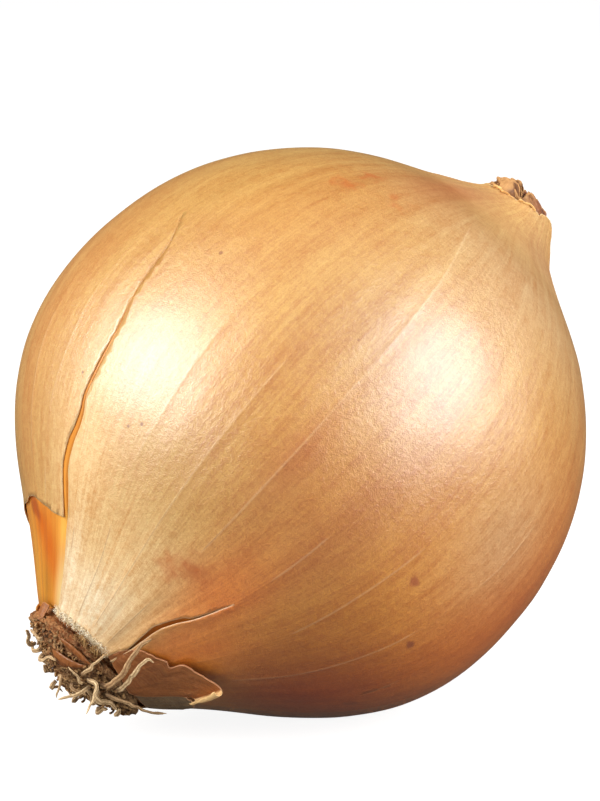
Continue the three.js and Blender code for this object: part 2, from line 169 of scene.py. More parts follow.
low_ways, low_turns = np.meshgrid(np.arange(110, 150.5, 0.5), np.arange(-20, 21.0))
low = on_skin(low_ways, low_turns).reshape(-1, 3) @ TO_WORLD.T
contact = low[low[:, 2].argmin()]
CENTRE = np.array([-contact[0], 0, -contact[2] - FLAT_DEPTH])


def to_world(places, floor=0.0):
    """From the onion's own frame to the row frame; nothing goes under the floor height."""
    world = np.asarray(places) @ TO_WORLD.T + CENTRE
    world[..., 2] = np.maximum(world[..., 2], floor)
    return world


print("the middle of the body stands at", CENTRE.round(2), "mm")

# %% [markdown]
# ## Helpers for grown shapes
#
# Nothing on an onion is straight or even, so most pieces need the same two things: smooth
# random numbers that are the same on each run, and a way to turn points and faces into an
# object. The random field is made from a table that is blended between the corners of a
# grid, which works on whole arrays at once and is much quicker than asking for one point
# at a time.

# %% Smooth random fields
NOISE_TABLE_SIZE = 4096
NOISE_STRIDES = np.array([73, 1031, 2719])


def soft_noise(places, seed):
    """Random values from -1 to 1 that change smoothly, about one hill for each unit."""
    places = np.asarray(places, float)
    table = np.random.default_rng(seed).uniform(-1, 1, NOISE_TABLE_SIZE)
    cell = np.floor(places).astype(int)
    part = places - cell
    part = part * part * (3 - 2 * part)
    total = 0
    for corner in itertools.product((0, 1), repeat=places.shape[-1]):
        spot = ((cell + corner) * NOISE_STRIDES[:len(corner)]).sum(-1) % NOISE_TABLE_SIZE
        total = total + np.where(corner, part, 1 - part).prod(-1) * table[spot]
    return total


def rough_noise(places, seed, octaves=3):
    places = np.asarray(places, float)
    return sum(soft_noise(places * 2.0**n, seed + n) / 2**n for n in range(octaves)) / 1.75


def round_the_axis(way, around, fibre, stretch):
    """Coordinates for a grain that runs from neck to roots: fibre mm wide, stretch mm long."""
    return at_turn(BODY_RADIUS / fibre, around, way * MM_PER_DEGREE / stretch)


def fade(value, start, end):
    """0 before start, 1 after end, and a smooth change between them."""
    part = np.clip((value - start) / (end - start), 0, 1)
    return part * part * (3 - 2 * part)


print("noise at two near places:", soft_noise([[0.4, 0.4, 0.4], [0.45, 0.4, 0.4]], 1).round(3))

# %% The faces of sheets and tubes
def sheet_faces(rows, columns):
    starts = (row * columns + column for row in range(rows - 1) for column in range(columns - 1))
    return [(a, a + columns, a + columns + 1, a + 1) for a in starts]


def outward_faces(places):
    """Faces of rows and columns of places, turned away from the middle of the onion."""
    face_out = np.cross(places[1, 0] - places[0, 0], places[0, 1] - places[0, 0])
    turned = -1 if (face_out * places[0, 0]).sum() < 0 else 1
    return [face[::turned] for face in sheet_faces(*places.shape[:2])]


def tube_faces(rows, sides, turned=-1, closed_ends=True):
    """Faces of a tube of rings; with closed ends its last two points are the end caps.
    They face out where the rings run up the onion's axis, or down it if turned is 1."""
    ring = [(side, (side + 1) % sides) for side in range(sides)]
    faces = [(row + a, row + a + sides, row + b + sides, row + b)
             for row in range(0, (rows - 1) * sides, sides) for a, b in ring]
    if closed_ends:
        first, last, end = rows * sides, rows * sides + 1, (rows - 1) * sides
        for a, b in ring:
            faces += [(first, a, b), (last, end + b, end + a)]
    return [face[::turned] for face in faces]


def tube_points(rings):
    """The points of the rings, and one point in the middle of each end."""
    return np.vstack([rings.reshape(-1, 3), rings[0].mean(0), rings[-1].mean(0)])


def capped(values, first=0, last=0):
    """A tube's values, with those of the points in the middle of its ends."""
    return np.append(np.ravel(values), [first, last])


print("a closed tube of 3 rings with 4 sides has", len(tube_faces(3, 4)), "faces")

# %% From points and faces to an object
def add_object(name, places_mm, faces):
    mesh = bpy.data.meshes.new(name)
    mesh.from_pydata((np.reshape(places_mm, (-1, 3)) * MM).tolist(), [], faces)
    mesh.update()
    mesh.polygons.foreach_set("use_smooth", [True] * len(mesh.polygons))
    piece = bpy.data.objects.new(name, mesh)
    bpy.context.scene.collection.objects.link(piece)
    return piece


def add_values(piece, **fields):
    """Stores numbers, or vectors, for each point, for the materials to read by name."""
    for name, values in fields.items():
        values = np.asarray(values, np.float32)
        vectors = values.shape[-1] == 3
        layer = piece.data.attributes.new(name, "FLOAT_VECTOR" if vectors else "FLOAT", "POINT")
        layer.data.foreach_set("vector" if vectors else "value", values.ravel())


def apply_modifiers(piece):
    depsgraph = bpy.context.evaluated_depsgraph_get()
    finished = bpy.data.meshes.new_from_object(piece.evaluated_get(depsgraph))
    piece.modifiers.clear()
    piece.data = finished


def give_thickness(piece, thickness_mm):
    """Grows a sheet inwards into a closed wall."""
    wall = piece.modifiers.new("thickness", "SOLIDIFY")
    wall.thickness = thickness_mm * MM
    wall.offset = -1
    apply_modifiers(piece)


def finish_piece(piece, material, slot, *nodes):
    """Gives the piece its material, hangs it on the root body and hides the solids that it stands
    for; the slot is not used. Then it measures the piece: a closed piece that faces out has a
    volume above zero and no open edges."""
    if material:
        piece.data.materials.append(material)
    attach(piece, "root")
    if nodes:
        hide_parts(*nodes)
    measure = bmesh.new()
    measure.from_mesh(piece.data)
    volume = measure.calc_volume(signed=True) / MM**3
    open_edges = sum(not edge.is_manifold for edge in measure.edges)
    measure.free()
    piece.data.calc_loop_triangles()
    print(piece.name, "has", len(piece.data.loop_triangles), "triangles,", round(volume, 2),
          "mm3 and", open_edges, "open edges")


# %% [markdown]
# ## Finishes
#
# Every dry part of the onion shares a few effects: a fibre that runs from neck to roots,
# a mottle of tiny cells, and spots. Each is a shader node group with its own inputs, made
# once and then placed in many materials. The groups only give masks; the shader itself
# stays in each material, where its gloss is given one by one. A finish is built as a painter
# builds it: a first colour, then one coat over another, each with its own share.

# %% Node trees
SOCKETS = {tuple: "NodeSocketVector", float: "NodeSocketFloat", int: "NodeSocketInt",
           type(None): "NodeSocketMaterial"}


def paint(red, green, blue):
    """A colour as a paint chart gives it, 0 to 255, turned into the light it reflects."""
    return tuple(((c / 255 + 0.055) / 1.055) ** 2.4 if c > 10 else c / 255 / 12.92
                 for c in (red, green, blue))


class Tree:
    """A node tree with a short way to add each kind of step. Every step gives its output,
    and takes numbers, colours or the outputs of other steps."""

    def __init__(self, tree):
        self.tree = tree

    def put(self, socket, value):
        if isinstance(value, bpy.types.NodeSocket):
            self.tree.links.new(value, socket)
        else:
            socket.default_value = (*value, 1) if socket.type == "RGBA" else value

    def node(self, kind, inputs=(), **settings):
        node = self.tree.nodes.new(kind)
        for name, value in settings.items():
            setattr(node, name, value)
        for name, value in dict(inputs).items():
            self.put(node.inputs[name], value)
        return node.outputs

    def maths(self, operation, *values):
        return self.node("ShaderNodeMath", dict(enumerate(values)), operation=operation)[0]

    def times(self, first, second):
        return self.maths("MULTIPLY", first, second)

    def vector(self, x=0.0, y=0.0, z=0.0):
        return self.node("ShaderNodeCombineXYZ", {"X": x, "Y": y, "Z": z})[0]

    def vector_maths(self, operation, output, **inputs):
        sockets = {"first": 0, "second": 1, "scale": "Scale"}
        named = {sockets[name]: value for name, value in inputs.items()}
        return self.node("ShaderNodeVectorMath", named, operation=operation)[output]

    def noise(self, output="Fac", **inputs):
        return self.node("ShaderNodeTexNoise", inputs)[output]

    def mix(self, share, below, above, blend="MIX"):
        """Paints the colour above over the one below."""
        return self.node("ShaderNodeMix", {0: share, 6: below, 7: above}, data_type="RGBA",
                         blend_type=blend)[2]

    def ramp(self, value, start, end, low=0.0, high=1.0):
        """low before start, high after end, smooth between."""
        inputs = {"Value": value, "From Min": start, "From Max": end, "To Min": low,
                  "To Max": high}
        return self.node("ShaderNodeMapRange", inputs, interpolation_type="SMOOTHSTEP")[0]

    def value(self, name, output="Fac"):
        return self.node("ShaderNodeAttribute", attribute_name=name)[output]


def new_group(name, kind="Shader", result="NodeSocketFloat", **inputs):
    """A node group with these inputs and their usual values, and one result."""
    group = bpy.data.node_groups.new(name, kind + "NodeTree")
    if kind == "Geometry":
        group.interface.new_socket("Surface", in_out="INPUT", socket_type=result)
    for socket, value in inputs.items():
        made = group.interface.new_socket(socket, in_out="INPUT", socket_type=SOCKETS[type(value)])
        if value is not None:
            made.default_value = value
    group.interface.new_socket("Result", in_out="OUTPUT", socket_type=result)
    given, out = group.nodes.new("NodeGroupInput"), group.nodes.new("NodeGroupOutput")
    return Tree(group), given.outputs, out.inputs[0]


# %% The shared effects
def make_streaks_group():
    """Fibres along the onion: a stretched noise in the coordinates round the axis."""
    tree, given, result = new_group("streaks", Fibre=(0, 0, 0), Width=0.4, Length=8.0, Detail=2.0)
    thin, long = (tree.maths("DIVIDE", 1.0, given[side]) for side in ("Width", "Length"))
    place = tree.vector_maths("MULTIPLY", 0, first=given["Fibre"],
                              second=tree.vector(thin, thin, long))
    noise = tree.noise(Vector=place, Scale=1.0, Detail=given["Detail"], Roughness=0.55)
    tree.put(result, tree.ramp(noise, 0.3, 0.7))
    return tree.tree


def make_mottle_group():
    """Tiny cells and specks, the same in every direction."""
    tree, given, result = new_group("mottle", Size=1.0, Sharpness=0.5)
    noise = tree.noise(Vector=tree.node("ShaderNodeTexCoord")["Object"],
                       Scale=tree.maths("DIVIDE", 1 / MM, given["Size"]),
                       Detail=3.0, Roughness=0.6)
    half = tree.maths("MULTIPLY_ADD", given["Sharpness"], -0.24, 0.25)
    low, high = tree.maths("SUBTRACT", 0.5, half), tree.maths("ADD", 0.5, half)
    tree.put(result, tree.ramp(noise, low, high))
    return tree.tree


def make_spot_group():
    """A blotch with a soft, uneven edge round a place on the onion, in metres."""
    tree, given, result = new_group("spot", Centre=(0, 0, 0), Radius=2.0, Softness=1.0,
                                    Unevenness=1.0)
    place = tree.node("ShaderNodeTexCoord")["Object"]
    away = tree.vector_maths("DISTANCE", "Value", first=place, second=given["Centre"])
    noise = tree.noise(Vector=place, Scale=700.0, Detail=3.0)
    ragged = tree.times(tree.maths("SUBTRACT", noise, 0.5), given["Unevenness"])
    far = tree.maths("MULTIPLY_ADD", away, 1 / MM, tree.times(ragged, 4.0))
    inner, outer = (tree.maths(operation, given["Radius"], given["Softness"])
                    for operation in ("SUBTRACT", "ADD"))
    tree.put(result, tree.ramp(far, outer, inner))
    return tree.tree


streaks, mottle, spot = make_streaks_group(), make_mottle_group(), make_spot_group()
print("shared effects:", [group.name for group in bpy.data.node_groups])

# %% A finish, painted coat by coat
class Finish(Tree):
    def __init__(self, name, colour, roughness, coat=0.0, coat_roughness=0.2, specular=0.5,
                 bend=1.5):
        """The colour is three numbers, or the name of colours stored with the points."""
        self.material = bpy.data.materials.new(name)
        self.material.use_nodes = True
        super().__init__(self.material.node_tree)
        self.shader = self.tree.nodes["Principled BSDF"].inputs
        for socket, value in (("Roughness", roughness), ("Coat Weight", coat),
                              ("Coat Roughness", coat_roughness),
                              ("Specular IOR Level", specular), ("IOR", bend)):
            self.shader[socket].default_value = value
        self.colour = self.value(colour, "Color") if isinstance(colour, str) else colour

    def streaks(self, width, length, detail=3.0, fibre=None):
        fibre = self.value("fibre", "Vector") if fibre is None else fibre
        return self.node("ShaderNodeGroup", {"Fibre": fibre, "Width": width, "Length": length,
                                             "Detail": detail}, node_tree=streaks)[0]

    def mottle(self, size, sharpness):
        return self.node("ShaderNodeGroup", {"Size": size, "Sharpness": sharpness},
                         node_tree=mottle)[0]

    def spot(self, place, radius, softness, unevenness):
        """A spot at a place in mm."""
        centre = tuple(float(x) for x in to_world(place) * MM)
        return self.node("ShaderNodeGroup", {
            "Centre": centre, "Radius": radius, "Softness": softness,
            "Unevenness": unevenness}, node_tree=spot)[0]

    def cover(self, colour, share, strength=1.0, blend="MIX"):
        """Lays a coat over the colour so far, where the share is high."""
        share = share if strength == 1.0 else self.times(share, strength)
        self.colour = self.mix(share, self.colour, colour, blend)

    def darker(self, red, green, blue):
        """The colour so far, as it looks through this paint."""
        return self.mix(1.0, self.colour, paint(red, green, blue), "MULTIPLY")

    def done(self, height=None, strength=1.0, depth_mm=0.1):
        """Gives the shader its colour and its relief, and hands over the material."""
        self.put(self.shader["Base Color"], self.colour)
        if height is not None:
            relief = self.node("ShaderNodeBump", {"Height": height, "Strength": strength,
                                                  "Distance": depth_mm * MM})
            self.put(self.shader["Normal"], relief[0])
        return self.material


# %% [markdown]
# ## Camera, floor and light
#
# A long portrait lens, a little over half a metre away, looks slightly down on the onion.
# Two large soft lamps, one on each side, make the two satin highlights that show how smooth
# and round the skin is. A top lamp and a weak fill lamp only brighten the skin: they are
# hidden from reflections, so they add no highlight of their own. Making them first means
# that every later piece can be judged in its final light.

# %% Camera
CAMERA_TURN, CAMERA_HEIGHT = -27, 11    # degrees
CAMERA_DISTANCE, CAMERA_LENS = 600, 204.1
AIM = (-0.43, 4.0)                      # to the right and up from the middle of the body


def direction(turn, height):
    turn, height = math.radians(turn), math.radians(height)
    return np.array([math.sin(turn) * math.cos(height), -math.cos(turn) * math.cos(height),
                     math.sin(height)])


def add_facing(name, data, place_mm, backwards):
    """Stands a camera or a lamp at a place, with its back to a direction."""
    thing = bpy.data.objects.new(name, data)
    thing.location = Vector(place_mm) * MM
    thing.rotation_euler = Vector(-backwards).to_track_quat("-Z", "Y").to_euler()
    bpy.context.scene.collection.objects.link(thing)
    return thing


back = direction(CAMERA_TURN, CAMERA_HEIGHT)
right = direction(CAMERA_TURN + 90, 0)
up = np.cross(back, right)
camera_data = bpy.data.cameras.new("camera")
camera_data.lens = CAMERA_LENS
camera_place = CENTRE + AIM[0] * right + AIM[1] * up + CAMERA_DISTANCE * back
camera = add_facing("camera", camera_data, camera_place, back)
bpy.context.scene.camera = camera
bpy.context.scene.view_settings.view_transform = "Standard"
print("the camera stands", round(camera.location.length, 3), "m from the onion")

# %% Lamps
# name, direction as (right, up, towards the camera), distance, size, watts, colour, and
# whether it shows as a highlight
WHITE, WARM = (1.0, 1.0, 1.0), (1.0, 0.96, 0.9)
LAMPS = [
    ("window_lamp", (-0.83, 0.425, 0.36), 700, (480, 510), 6.5, WHITE, True),
    ("side_lamp", (0.81, 0.335, 0.48), 700, (510, 555), 6.8, WHITE, True),
    ("top_lamp", (0.0, 0.98, 0.2), 900, (900, 700), 5.0, WHITE, False),
    ("fill_lamp", (-0.66, -0.2, 0.72), 700, (500, 500), 1.5, WARM, False),
]
for name, (r, u, b), distance, (width, height), watts, colour, shows in LAMPS:
    towards = r * right + u * up + b * back
    lamp = bpy.data.lights.new(name, "AREA")
    lamp.shape, lamp.size, lamp.size_y = "RECTANGLE", width * MM, height * MM
    lamp.energy, lamp.color = watts, colour
    add_facing(name, lamp, CENTRE + distance * towards, towards).visible_glossy = shows
print(len(LAMPS), "lamps, together", sum(lamp[4] for lamp in LAMPS), "W")

# %% Floor and sky
SKY_LIGHT = 0.06
FLOOR_HALF = 12000                      # half its side, in mm
FLOOR_GREY, FLOOR_GLOW = (0.28, 0.27, 0.26), 0.9    # the glow is seen by the camera only
world = bpy.data.worlds.new("pale_room")
world.use_nodes = True
sky = world.node_tree.nodes["Background"].inputs
sky["Color"].default_value, sky["Strength"].default_value = (1, 1, 1, 1), SKY_LIGHT
bpy.context.scene.world = world

corners = np.array([(-1, -1, 0), (1, -1, 0), (1, 1, 0), (-1, 1, 0)])
floor = add_object("floor", corners * FLOOR_HALF, [(0, 1, 2, 3)])
floor.visible_glossy = False            # no milky veil on the underside of the glossy skin
pale = Finish("pale_floor", FLOOR_GREY, 0.7)
glow = pale.times(pale.node("ShaderNodeLightPath")["Is Camera Ray"], FLOOR_GLOW)
pale.put(pale.shader["Emission Color"], WHITE)
pale.put(pale.shader["Emission Strength"], glow)
floor.data.materials.append(pale.done())
print("the floor is", round(2 * FLOOR_HALF * MM), "m wide")

# %% [markdown]
# ## The papery outer skin
#
# On the real onion this is a dead, dry leaf, thin and a little translucent. It has split
# as it dried: a long crack runs up from a torn window by the roots, and a shorter split
# lies in front. Cutting these out with booleans would leave ragged shading. Here the skin
# is first drawn flat, as a map of way against around, with every torn edge and every vein
# as a line in it. A constrained triangulation fills the map, the holes are left out, and
# the map is then wrapped round the body. So each torn edge is an exact, clean edge.

# %% Torn edges, as (way, around) places
# the middle of the crack, with its half width in degrees
CRACK = np.array([
    (149, 196.2, 1.6), (145, 195.4, 1.8), (142, 194.8, 1.85), (138, 194.1, 1.65),
    (133, 195.2, 1.45), (129, 196.7, 1.15), (126, 197.1, 0.9), (123, 196.6, 0.65),
    (118, 197.3, 0.55), (112, 197.6, 0.34), (107, 197.1, 0.2), (102, 195.7, 0.14),
    (95, 194.4, 0.1), (88, 192.6, 0.08), (81.5, 187.8, 0.05)])
WINDOW_RIGHT = [(171, 200), (166, 199.4), (160, 199), (154, 198.4), (150.5, 197.9)]
WINDOW_TOP = [
    (149, 191.4), (149.1, 187), (148.6, 180), (148, 174.6), (147.5, 170), (147.7, 163),
    (148.6, 158), (148.4, 150), (148.4, 140), (150, 128), (154, 119), (160, 116), (164, 122),
    (166.6, 135), (171, 145)]
SPLIT_UPPER = [
    (171, 249.2), (167, 251.9), (164.8, 254.3), (162.4, 256.6), (159.7, 255.8), (155.3, 254.6),
    (153.1, 255.4), (150.9, 256.4), (148, 258.2), (146.4, 259.9), (142.1, 261.3), (136.5, 262.5)]
SPLIT_LOWER = [
    (136.5, 262.5), (142.2, 261.7), (146.8, 260.5), (150.6, 258.6), (154.8, 257.1),
    (159.5, 257.5), (163, 257.8), (167, 256.5), (171, 256)]


def turn_between(a, b):
    return (np.asarray(a, float) - b + 180) % 360 - 180


def turn_mm(way):
    """How many mm one degree round the axis is, at this way."""
    return np.hypot(*skin_base(way, 0 * way + 90.0)[..., :2].T) * math.pi / 180


def map_lengths(line):
    """Lengths along a line of (way, around) places, in mm."""
    steps = np.diff(line, axis=0)
    middle = (line[1:, 0] + line[:-1, 0]) / 2
    steps = np.hypot(steps[:, 0] * MM_PER_DEGREE, steps[:, 1] * turn_mm(middle))
    return np.concatenate([[0], np.cumsum(steps)])


def resampled(line, spacing):
    line = np.asarray(line, float)
    marks = map_lengths(line)
    return evened(line, marks, max(2, round(marks[-1] / spacing) + 1))[0]


def pushed(line, offsets):
    """Moves each place sideways, by an offset in mm to the left of the line's direction."""
    scale = np.stack([np.full(len(line), MM_PER_DEGREE), turn_mm(line[:, 0])], -1)
    heading = unit(np.gradient(line * scale, axis=0))
    sideways = np.stack([-heading[:, 1], heading[:, 0]], -1)
    return line + sideways * np.reshape(offsets, (-1, 1)) / scale


def torn(points, seed, size=0.06, spacing=0.5):
    """A smooth line through the points, sampled finely and roughened as a tear is."""
    line = resampled(smooth_line(points, 8), spacing)
    along = np.arange(len(line))[:, None] * spacing
    ragged = size * (soft_noise(along / 1.7, seed) + 0.6 * soft_noise(along / 0.7, seed + 1))
    return pushed(line, ragged * np.minimum(1, np.arange(len(line)) / 3))


crack_sides = [np.stack([CRACK[:, 0], CRACK[:, 1] + side * CRACK[:, 2]], -1) for side in (1, -1)]
edges = {
    "window_right": torn(WINDOW_RIGHT, 17),
    "crack_right": torn(crack_sides[0], 11, 0.05),
    "crack_left": torn(crack_sides[1][::-1], 13, 0.05),
    "window_top": torn(WINDOW_TOP, 19),
    "split_upper": torn(SPLIT_UPPER, 23, 0.05),
    "split_lower": torn(SPLIT_LOWER, 29),
}
openings = [
    np.vstack([edges[name] for name in ("window_right", "crack_right", "crack_left",
                                        "window_top")]),
    np.vstack([edges["split_upper"][:-1], edges["split_lower"]]),
]
print("the crack is", round(float(map_lengths(edges["crack_right"])[-1]), 1), "mm long and",
      round(float(2 * CRACK[1, 2] * turn_mm(CRACK[1, 0])), 2), "mm wide at its foot")

# %% Veins, the lip at the neck and the collar at the roots
VEINS = [
    [(96, 172), (140, 171.5)],
    [(76, 182.5), (106, 184), (118, 184.3), (133, 182.5), (146, 181.5)],
    [(134, 201), (144, 201.8), (154, 202)],
    [(86, 217.3), (116, 218.5), (128, 218), (143, 218.5), (153, 219), (164, 217.8)],
    [(80, 231.2), (98, 231.8), (119, 232), (142, 232), (164, 231.8)],
    [(24, 233), (51, 241), (67, 243.3), (92, 244.5), (110, 245), (142, 245.8), (165, 245.8)],
    [(98, 261.3), (119, 262), (135.5, 262.5)],
    [(141, 263.6), (152, 265)],
    [(86, 278.5), (112, 277), (128, 278.2), (142, 280), (153, 280.5)],
    [(64, 297.7), (86, 297.3), (104, 295), (122, 294.7), (137, 295.8), (149, 295.5)],
    [(104, 308), (116, 309.2), (126, 313)],
]
HIDDEN_VEINS, FIRST_HIDDEN, BETWEEN_HIDDEN = 17, 326, 8.9   # how many, and turns in degrees
# the skin's torn edge at the neck, as (around, height) corners
LIP = [(160, 41.4), (188, 41), (202, 41.1), (214, 41), (224, 41.2), (230, 41.3), (236, 41.8),
       (246, 42.1), (254, 42.3), (264, 42.1), (270, 42.6), (285, 43.2), (310, 43.2),
       (335, 43), (20, 42.6), (80, 41.9), (130, 41.6)]
COLLAR = 166.8
SEAM = 20.0                         # the map is cut open here, on the hidden underside

vein_random = np.random.default_rng(5)
for vein in range(HIDDEN_VEINS):
    turn = FIRST_HIDDEN + BETWEEN_HIDDEN * vein + vein_random.uniform(-2, 2)
    turn = turn if turn < SEAM + 359 else turn - 360
    if abs(turn_between(turn, SEAM)) < 5:
        continue
    top, foot = vein_random.uniform(40, 90), vein_random.uniform(140, 164)
    sway = vein_random.uniform(-2, 2, 3)
    VEINS.append([(w, turn + s) for w, s in zip(np.linspace(top, foot, 3), sway)])


def height_round(corners, around):
    """The height of an edge that runs round the axis through (around, height) corners."""
    turns, heights = np.transpose(sorted((angle % 360, height) for angle, height in corners))
    return np.interp(around, turns, heights, period=360)


def lip_way(around):
    """Where the skin ends at the neck: a slanting, torn edge with a notch in it."""
    turn = np.asarray(around, float)
    ragged = round_the_axis(0 * turn, turn, 9.0, 1)
    height = height_round(LIP, turn)
    height = height + 0.12 * soft_noise(ragged, 31) + 0.1 * soft_noise(ragged * 3, 32)
    return np.interp(height, neck_curve[:, 0], neck_ways)


def collar_way(around):
    """Where it ends at the roots: a frayed edge round the root plate."""
    ragged = round_the_axis(0 * np.asarray(around, float), around, 1.6, 1)
    return COLLAR + 0.35 * soft_noise(ragged, 33) + 0.35 * soft_noise(ragged * 3, 34)


lip_ways = lip_way(np.arange(360))
print(len(VEINS), "veins; the lip lies between", (lip_ways.min().round(1), lip_ways.max().round(1)),
      "degrees")

# %% Triangulate the map of the skin
ROW_STEP = 1.15                     # degrees between rows
SEEN_STEP, HIDDEN_STEP = 1.05, 1.7  # degrees between columns
SEEN_FROM, SEEN_TO = 140, 345       # around angles that the camera can see
VEIN_FOOT = 0.3                     # mm from a vein's crest to its foot
VEIN_FADE = 10                      # mm over which a vein fades in from its upper end


def inside(outline, places):
    """Which places lie inside a closed outline: an even or odd count of crossed sides."""
    x, y = places[:, 0][:, None], places[:, 1][:, None]
    x0, y0 = outline[:, 0], outline[:, 1]
    x1, y1 = np.roll(x0, -1), np.roll(y0, -1)
    crosses = (y0 > y) != (y1 > y)
    with np.errstate(divide="ignore", invalid="ignore"):
        return (crosses & (x < (x1 - x0) * (y - y0) / (y1 - y0) + x0)).sum(1) % 2 == 1


def near_places(places, samples, reach):
    """The distance in mm from each place to the nearest of the samples, at most reach."""
    tree = kdtree.KDTree(len(samples))
    for i, place in enumerate(skin_base(*samples.T)):
        tree.insert(place, i)
    tree.balance()
    return np.array([min(reach, tree.find(place)[2]) for place in skin_base(*places.T)])


def near_lines(places, lines, reach):
    return near_places(places, np.vstack([resampled(line, 0.12) for line in lines]), reach)


def rows_of_map():
    around = np.concatenate([np.arange(SEAM, SEEN_FROM, HIDDEN_STEP),
                             np.arange(SEEN_FROM, SEEN_TO, SEEN_STEP),
                             np.arange(SEEN_TO, SEAM + 360, HIDDEN_STEP)])
    places = []
    for row, way in enumerate(np.arange(1.5, COLLAR + 1, ROW_STEP)):
        shift = np.gradient(around) * (0.5 if row % 2 else 0)
        places.append(np.stack([np.full(len(around), way), around + shift], -1))
    return np.vstack(places)


vein_lines = [resampled(smooth_line(vein, 8), 1.2) for vein in VEINS]
vein_feet = [pushed(line, side * VEIN_FOOT) for line in vein_lines for side in (-1, 1)]
rim_turns = np.concatenate([np.arange(SEAM, SEAM + 360, 0.8), [SEAM + 360]])
rims = [np.stack([rim(rim_turns), rim_turns], -1) for rim in (lip_way, collar_way)]
seam_ways = np.arange(rims[0][0, 0] + 0.4, rims[1][0, 0] - 0.3, ROW_STEP)
seams = [np.stack([seam_ways, 0 * seam_ways + turn], -1) for turn in (SEAM, SEAM + 360)]
edges.update(lip=rims[0], collar=rims[1])

grid = rows_of_map()
keep = (grid[:, 1] > SEAM + 0.5) & (grid[:, 1] < SEAM + 359.5)
keep &= (grid[:, 0] > lip_way(grid[:, 1]) + 0.4) & (grid[:, 0] < collar_way(grid[:, 1]) - 0.4)
grid = grid[keep]
for opening in openings:
    grid = grid[~inside(opening, grid)]
grid = grid[near_lines(grid, list(edges.values()), 1) > 0.25]
grid = grid[near_lines(grid, vein_lines, 1) > VEIN_FOOT + 0.12]

sheet_outline = np.vstack([rims[0], seams[1], rims[1][::-1], seams[0][::-1]])
closed = [True, True, *[False] * 3 * len(vein_lines), True]
points, lines, count = [grid], [], len(grid)
for line, is_closed in zip([*openings, *vein_lines, *vein_feet, sheet_outline], closed):
    numbers = np.arange(count, count + len(line)).tolist()
    lines += zip(numbers, numbers[1:] + numbers[:is_closed])
    points.append(line)
    count += len(line)

flat_mm = np.vstack(points) * MM_PER_DEGREE
corners, _, triangles, *_ = delaunay_2d_cdt([Vector(p) for p in flat_mm], lines, [], 0, 1e-4)
skin_map = np.array([tuple(corner) for corner in corners]) / MM_PER_DEGREE
triangles = np.array(triangles)
middles = skin_map[triangles].mean(1)
shown = inside(sheet_outline, middles)
shown &= np.abs(turn_between(middles[:, 1], SEAM)) > 0.001
for opening in openings:
    shown &= ~inside(opening, middles)
triangles = triangles[shown]
print("the map of the skin has", len(skin_map), "points and", len(triangles), "triangles")

# %% The small hills and folds of the skin
RIB_WIDTH, RIB_LENGTH = 2.4, 32     # mm
# a torn edge, how high it curls and how wide, in mm, and the ways where the curl begins
CURLS = [("split_upper", 0.28, 1.0, 139, 152), ("split_lower", 0.12, 0.7),
         ("crack_right", 0.05, 0.6, 105, 140), ("window_right", 0.2, 1.0),
         ("window_top", 0.12, 0.8), ("lip", 0.2, 0.45), ("collar", 0.3, 0.9)]
VEIN_HEIGHT = 0.04


def relief(way, around):
    """How far the skin's surface stands from the smooth body, in mm."""
    body = polar_point(BODY_RADIUS, way, around)
    hills = 0.12 * soft_noise(body / 12, 41) + 0.05 * soft_noise(body / 4.5, 42)
    ribs = rough_noise(round_the_axis(way, around, RIB_WIDTH, RIB_LENGTH), 43, 2)
    rib_height = 0.045 + 0.09 * fade(way, 34, 14) + 0.05 * fade(way, 140, 163)
    return hills * fade(way, 12, 26) + ribs * rib_height


def near_edge(distance, height, width):
    """A lift that is highest at the edge and gone a few widths away from it."""
    return height * np.exp(-((distance / width) ** 2))


ways, turns = skin_map.T
gap_to = {name: near_lines(skin_map, [line], 4) for name, line in edges.items()}
lift = relief(ways, turns)
for name, height, width, *begins in CURLS:
    lift += near_edge(gap_to[name], height, width) * (fade(ways, *begins) if begins else 1)
to_vein = near_lines(skin_map, vein_lines, 2)
vein_tops = np.array([line[0] for line in vein_lines])
vein_share = near_places(skin_map, vein_tops, VEIN_FADE) / VEIN_FADE
lift += near_edge(to_vein, VEIN_HEIGHT, VEIN_FOOT / 1.5) * vein_share
print("the skin's surface varies from", lift.min().round(2), "to", lift.max().round(2), "mm")

# %% [markdown]
# ## The finish of the papery skin
#
# The colour of onion skin changes slowly over the bulb: cream where it meets the roots,
# golden tan on the shoulder, red-brown where two layers lie over each other. Such slow
# changes are laid on as washes, as a painter would, one after the other, and stored with
# the points of the mesh. The quick changes (fibres, cells, spots, veins) are left to the
# shader, which can draw them finer than the mesh.

# %% Washes of colour over the skin
# the box of paints, each as a paint chart gives it
TAN, STRAW, CREAM = (200, 150, 75), (250, 228, 188), (250, 205, 140)
AMBER, ORANGE, RUST = (240, 160, 40), (240, 125, 30), (210, 95, 5)
RUSSET, CHESTNUT, UMBER = (145, 45, 5), (180, 100, 45), (150, 100, 50)
OCHRE, BUFF, HONEY, COPPER = (188, 126, 54), (200, 155, 108), (215, 147, 75), (206, 116, 48)
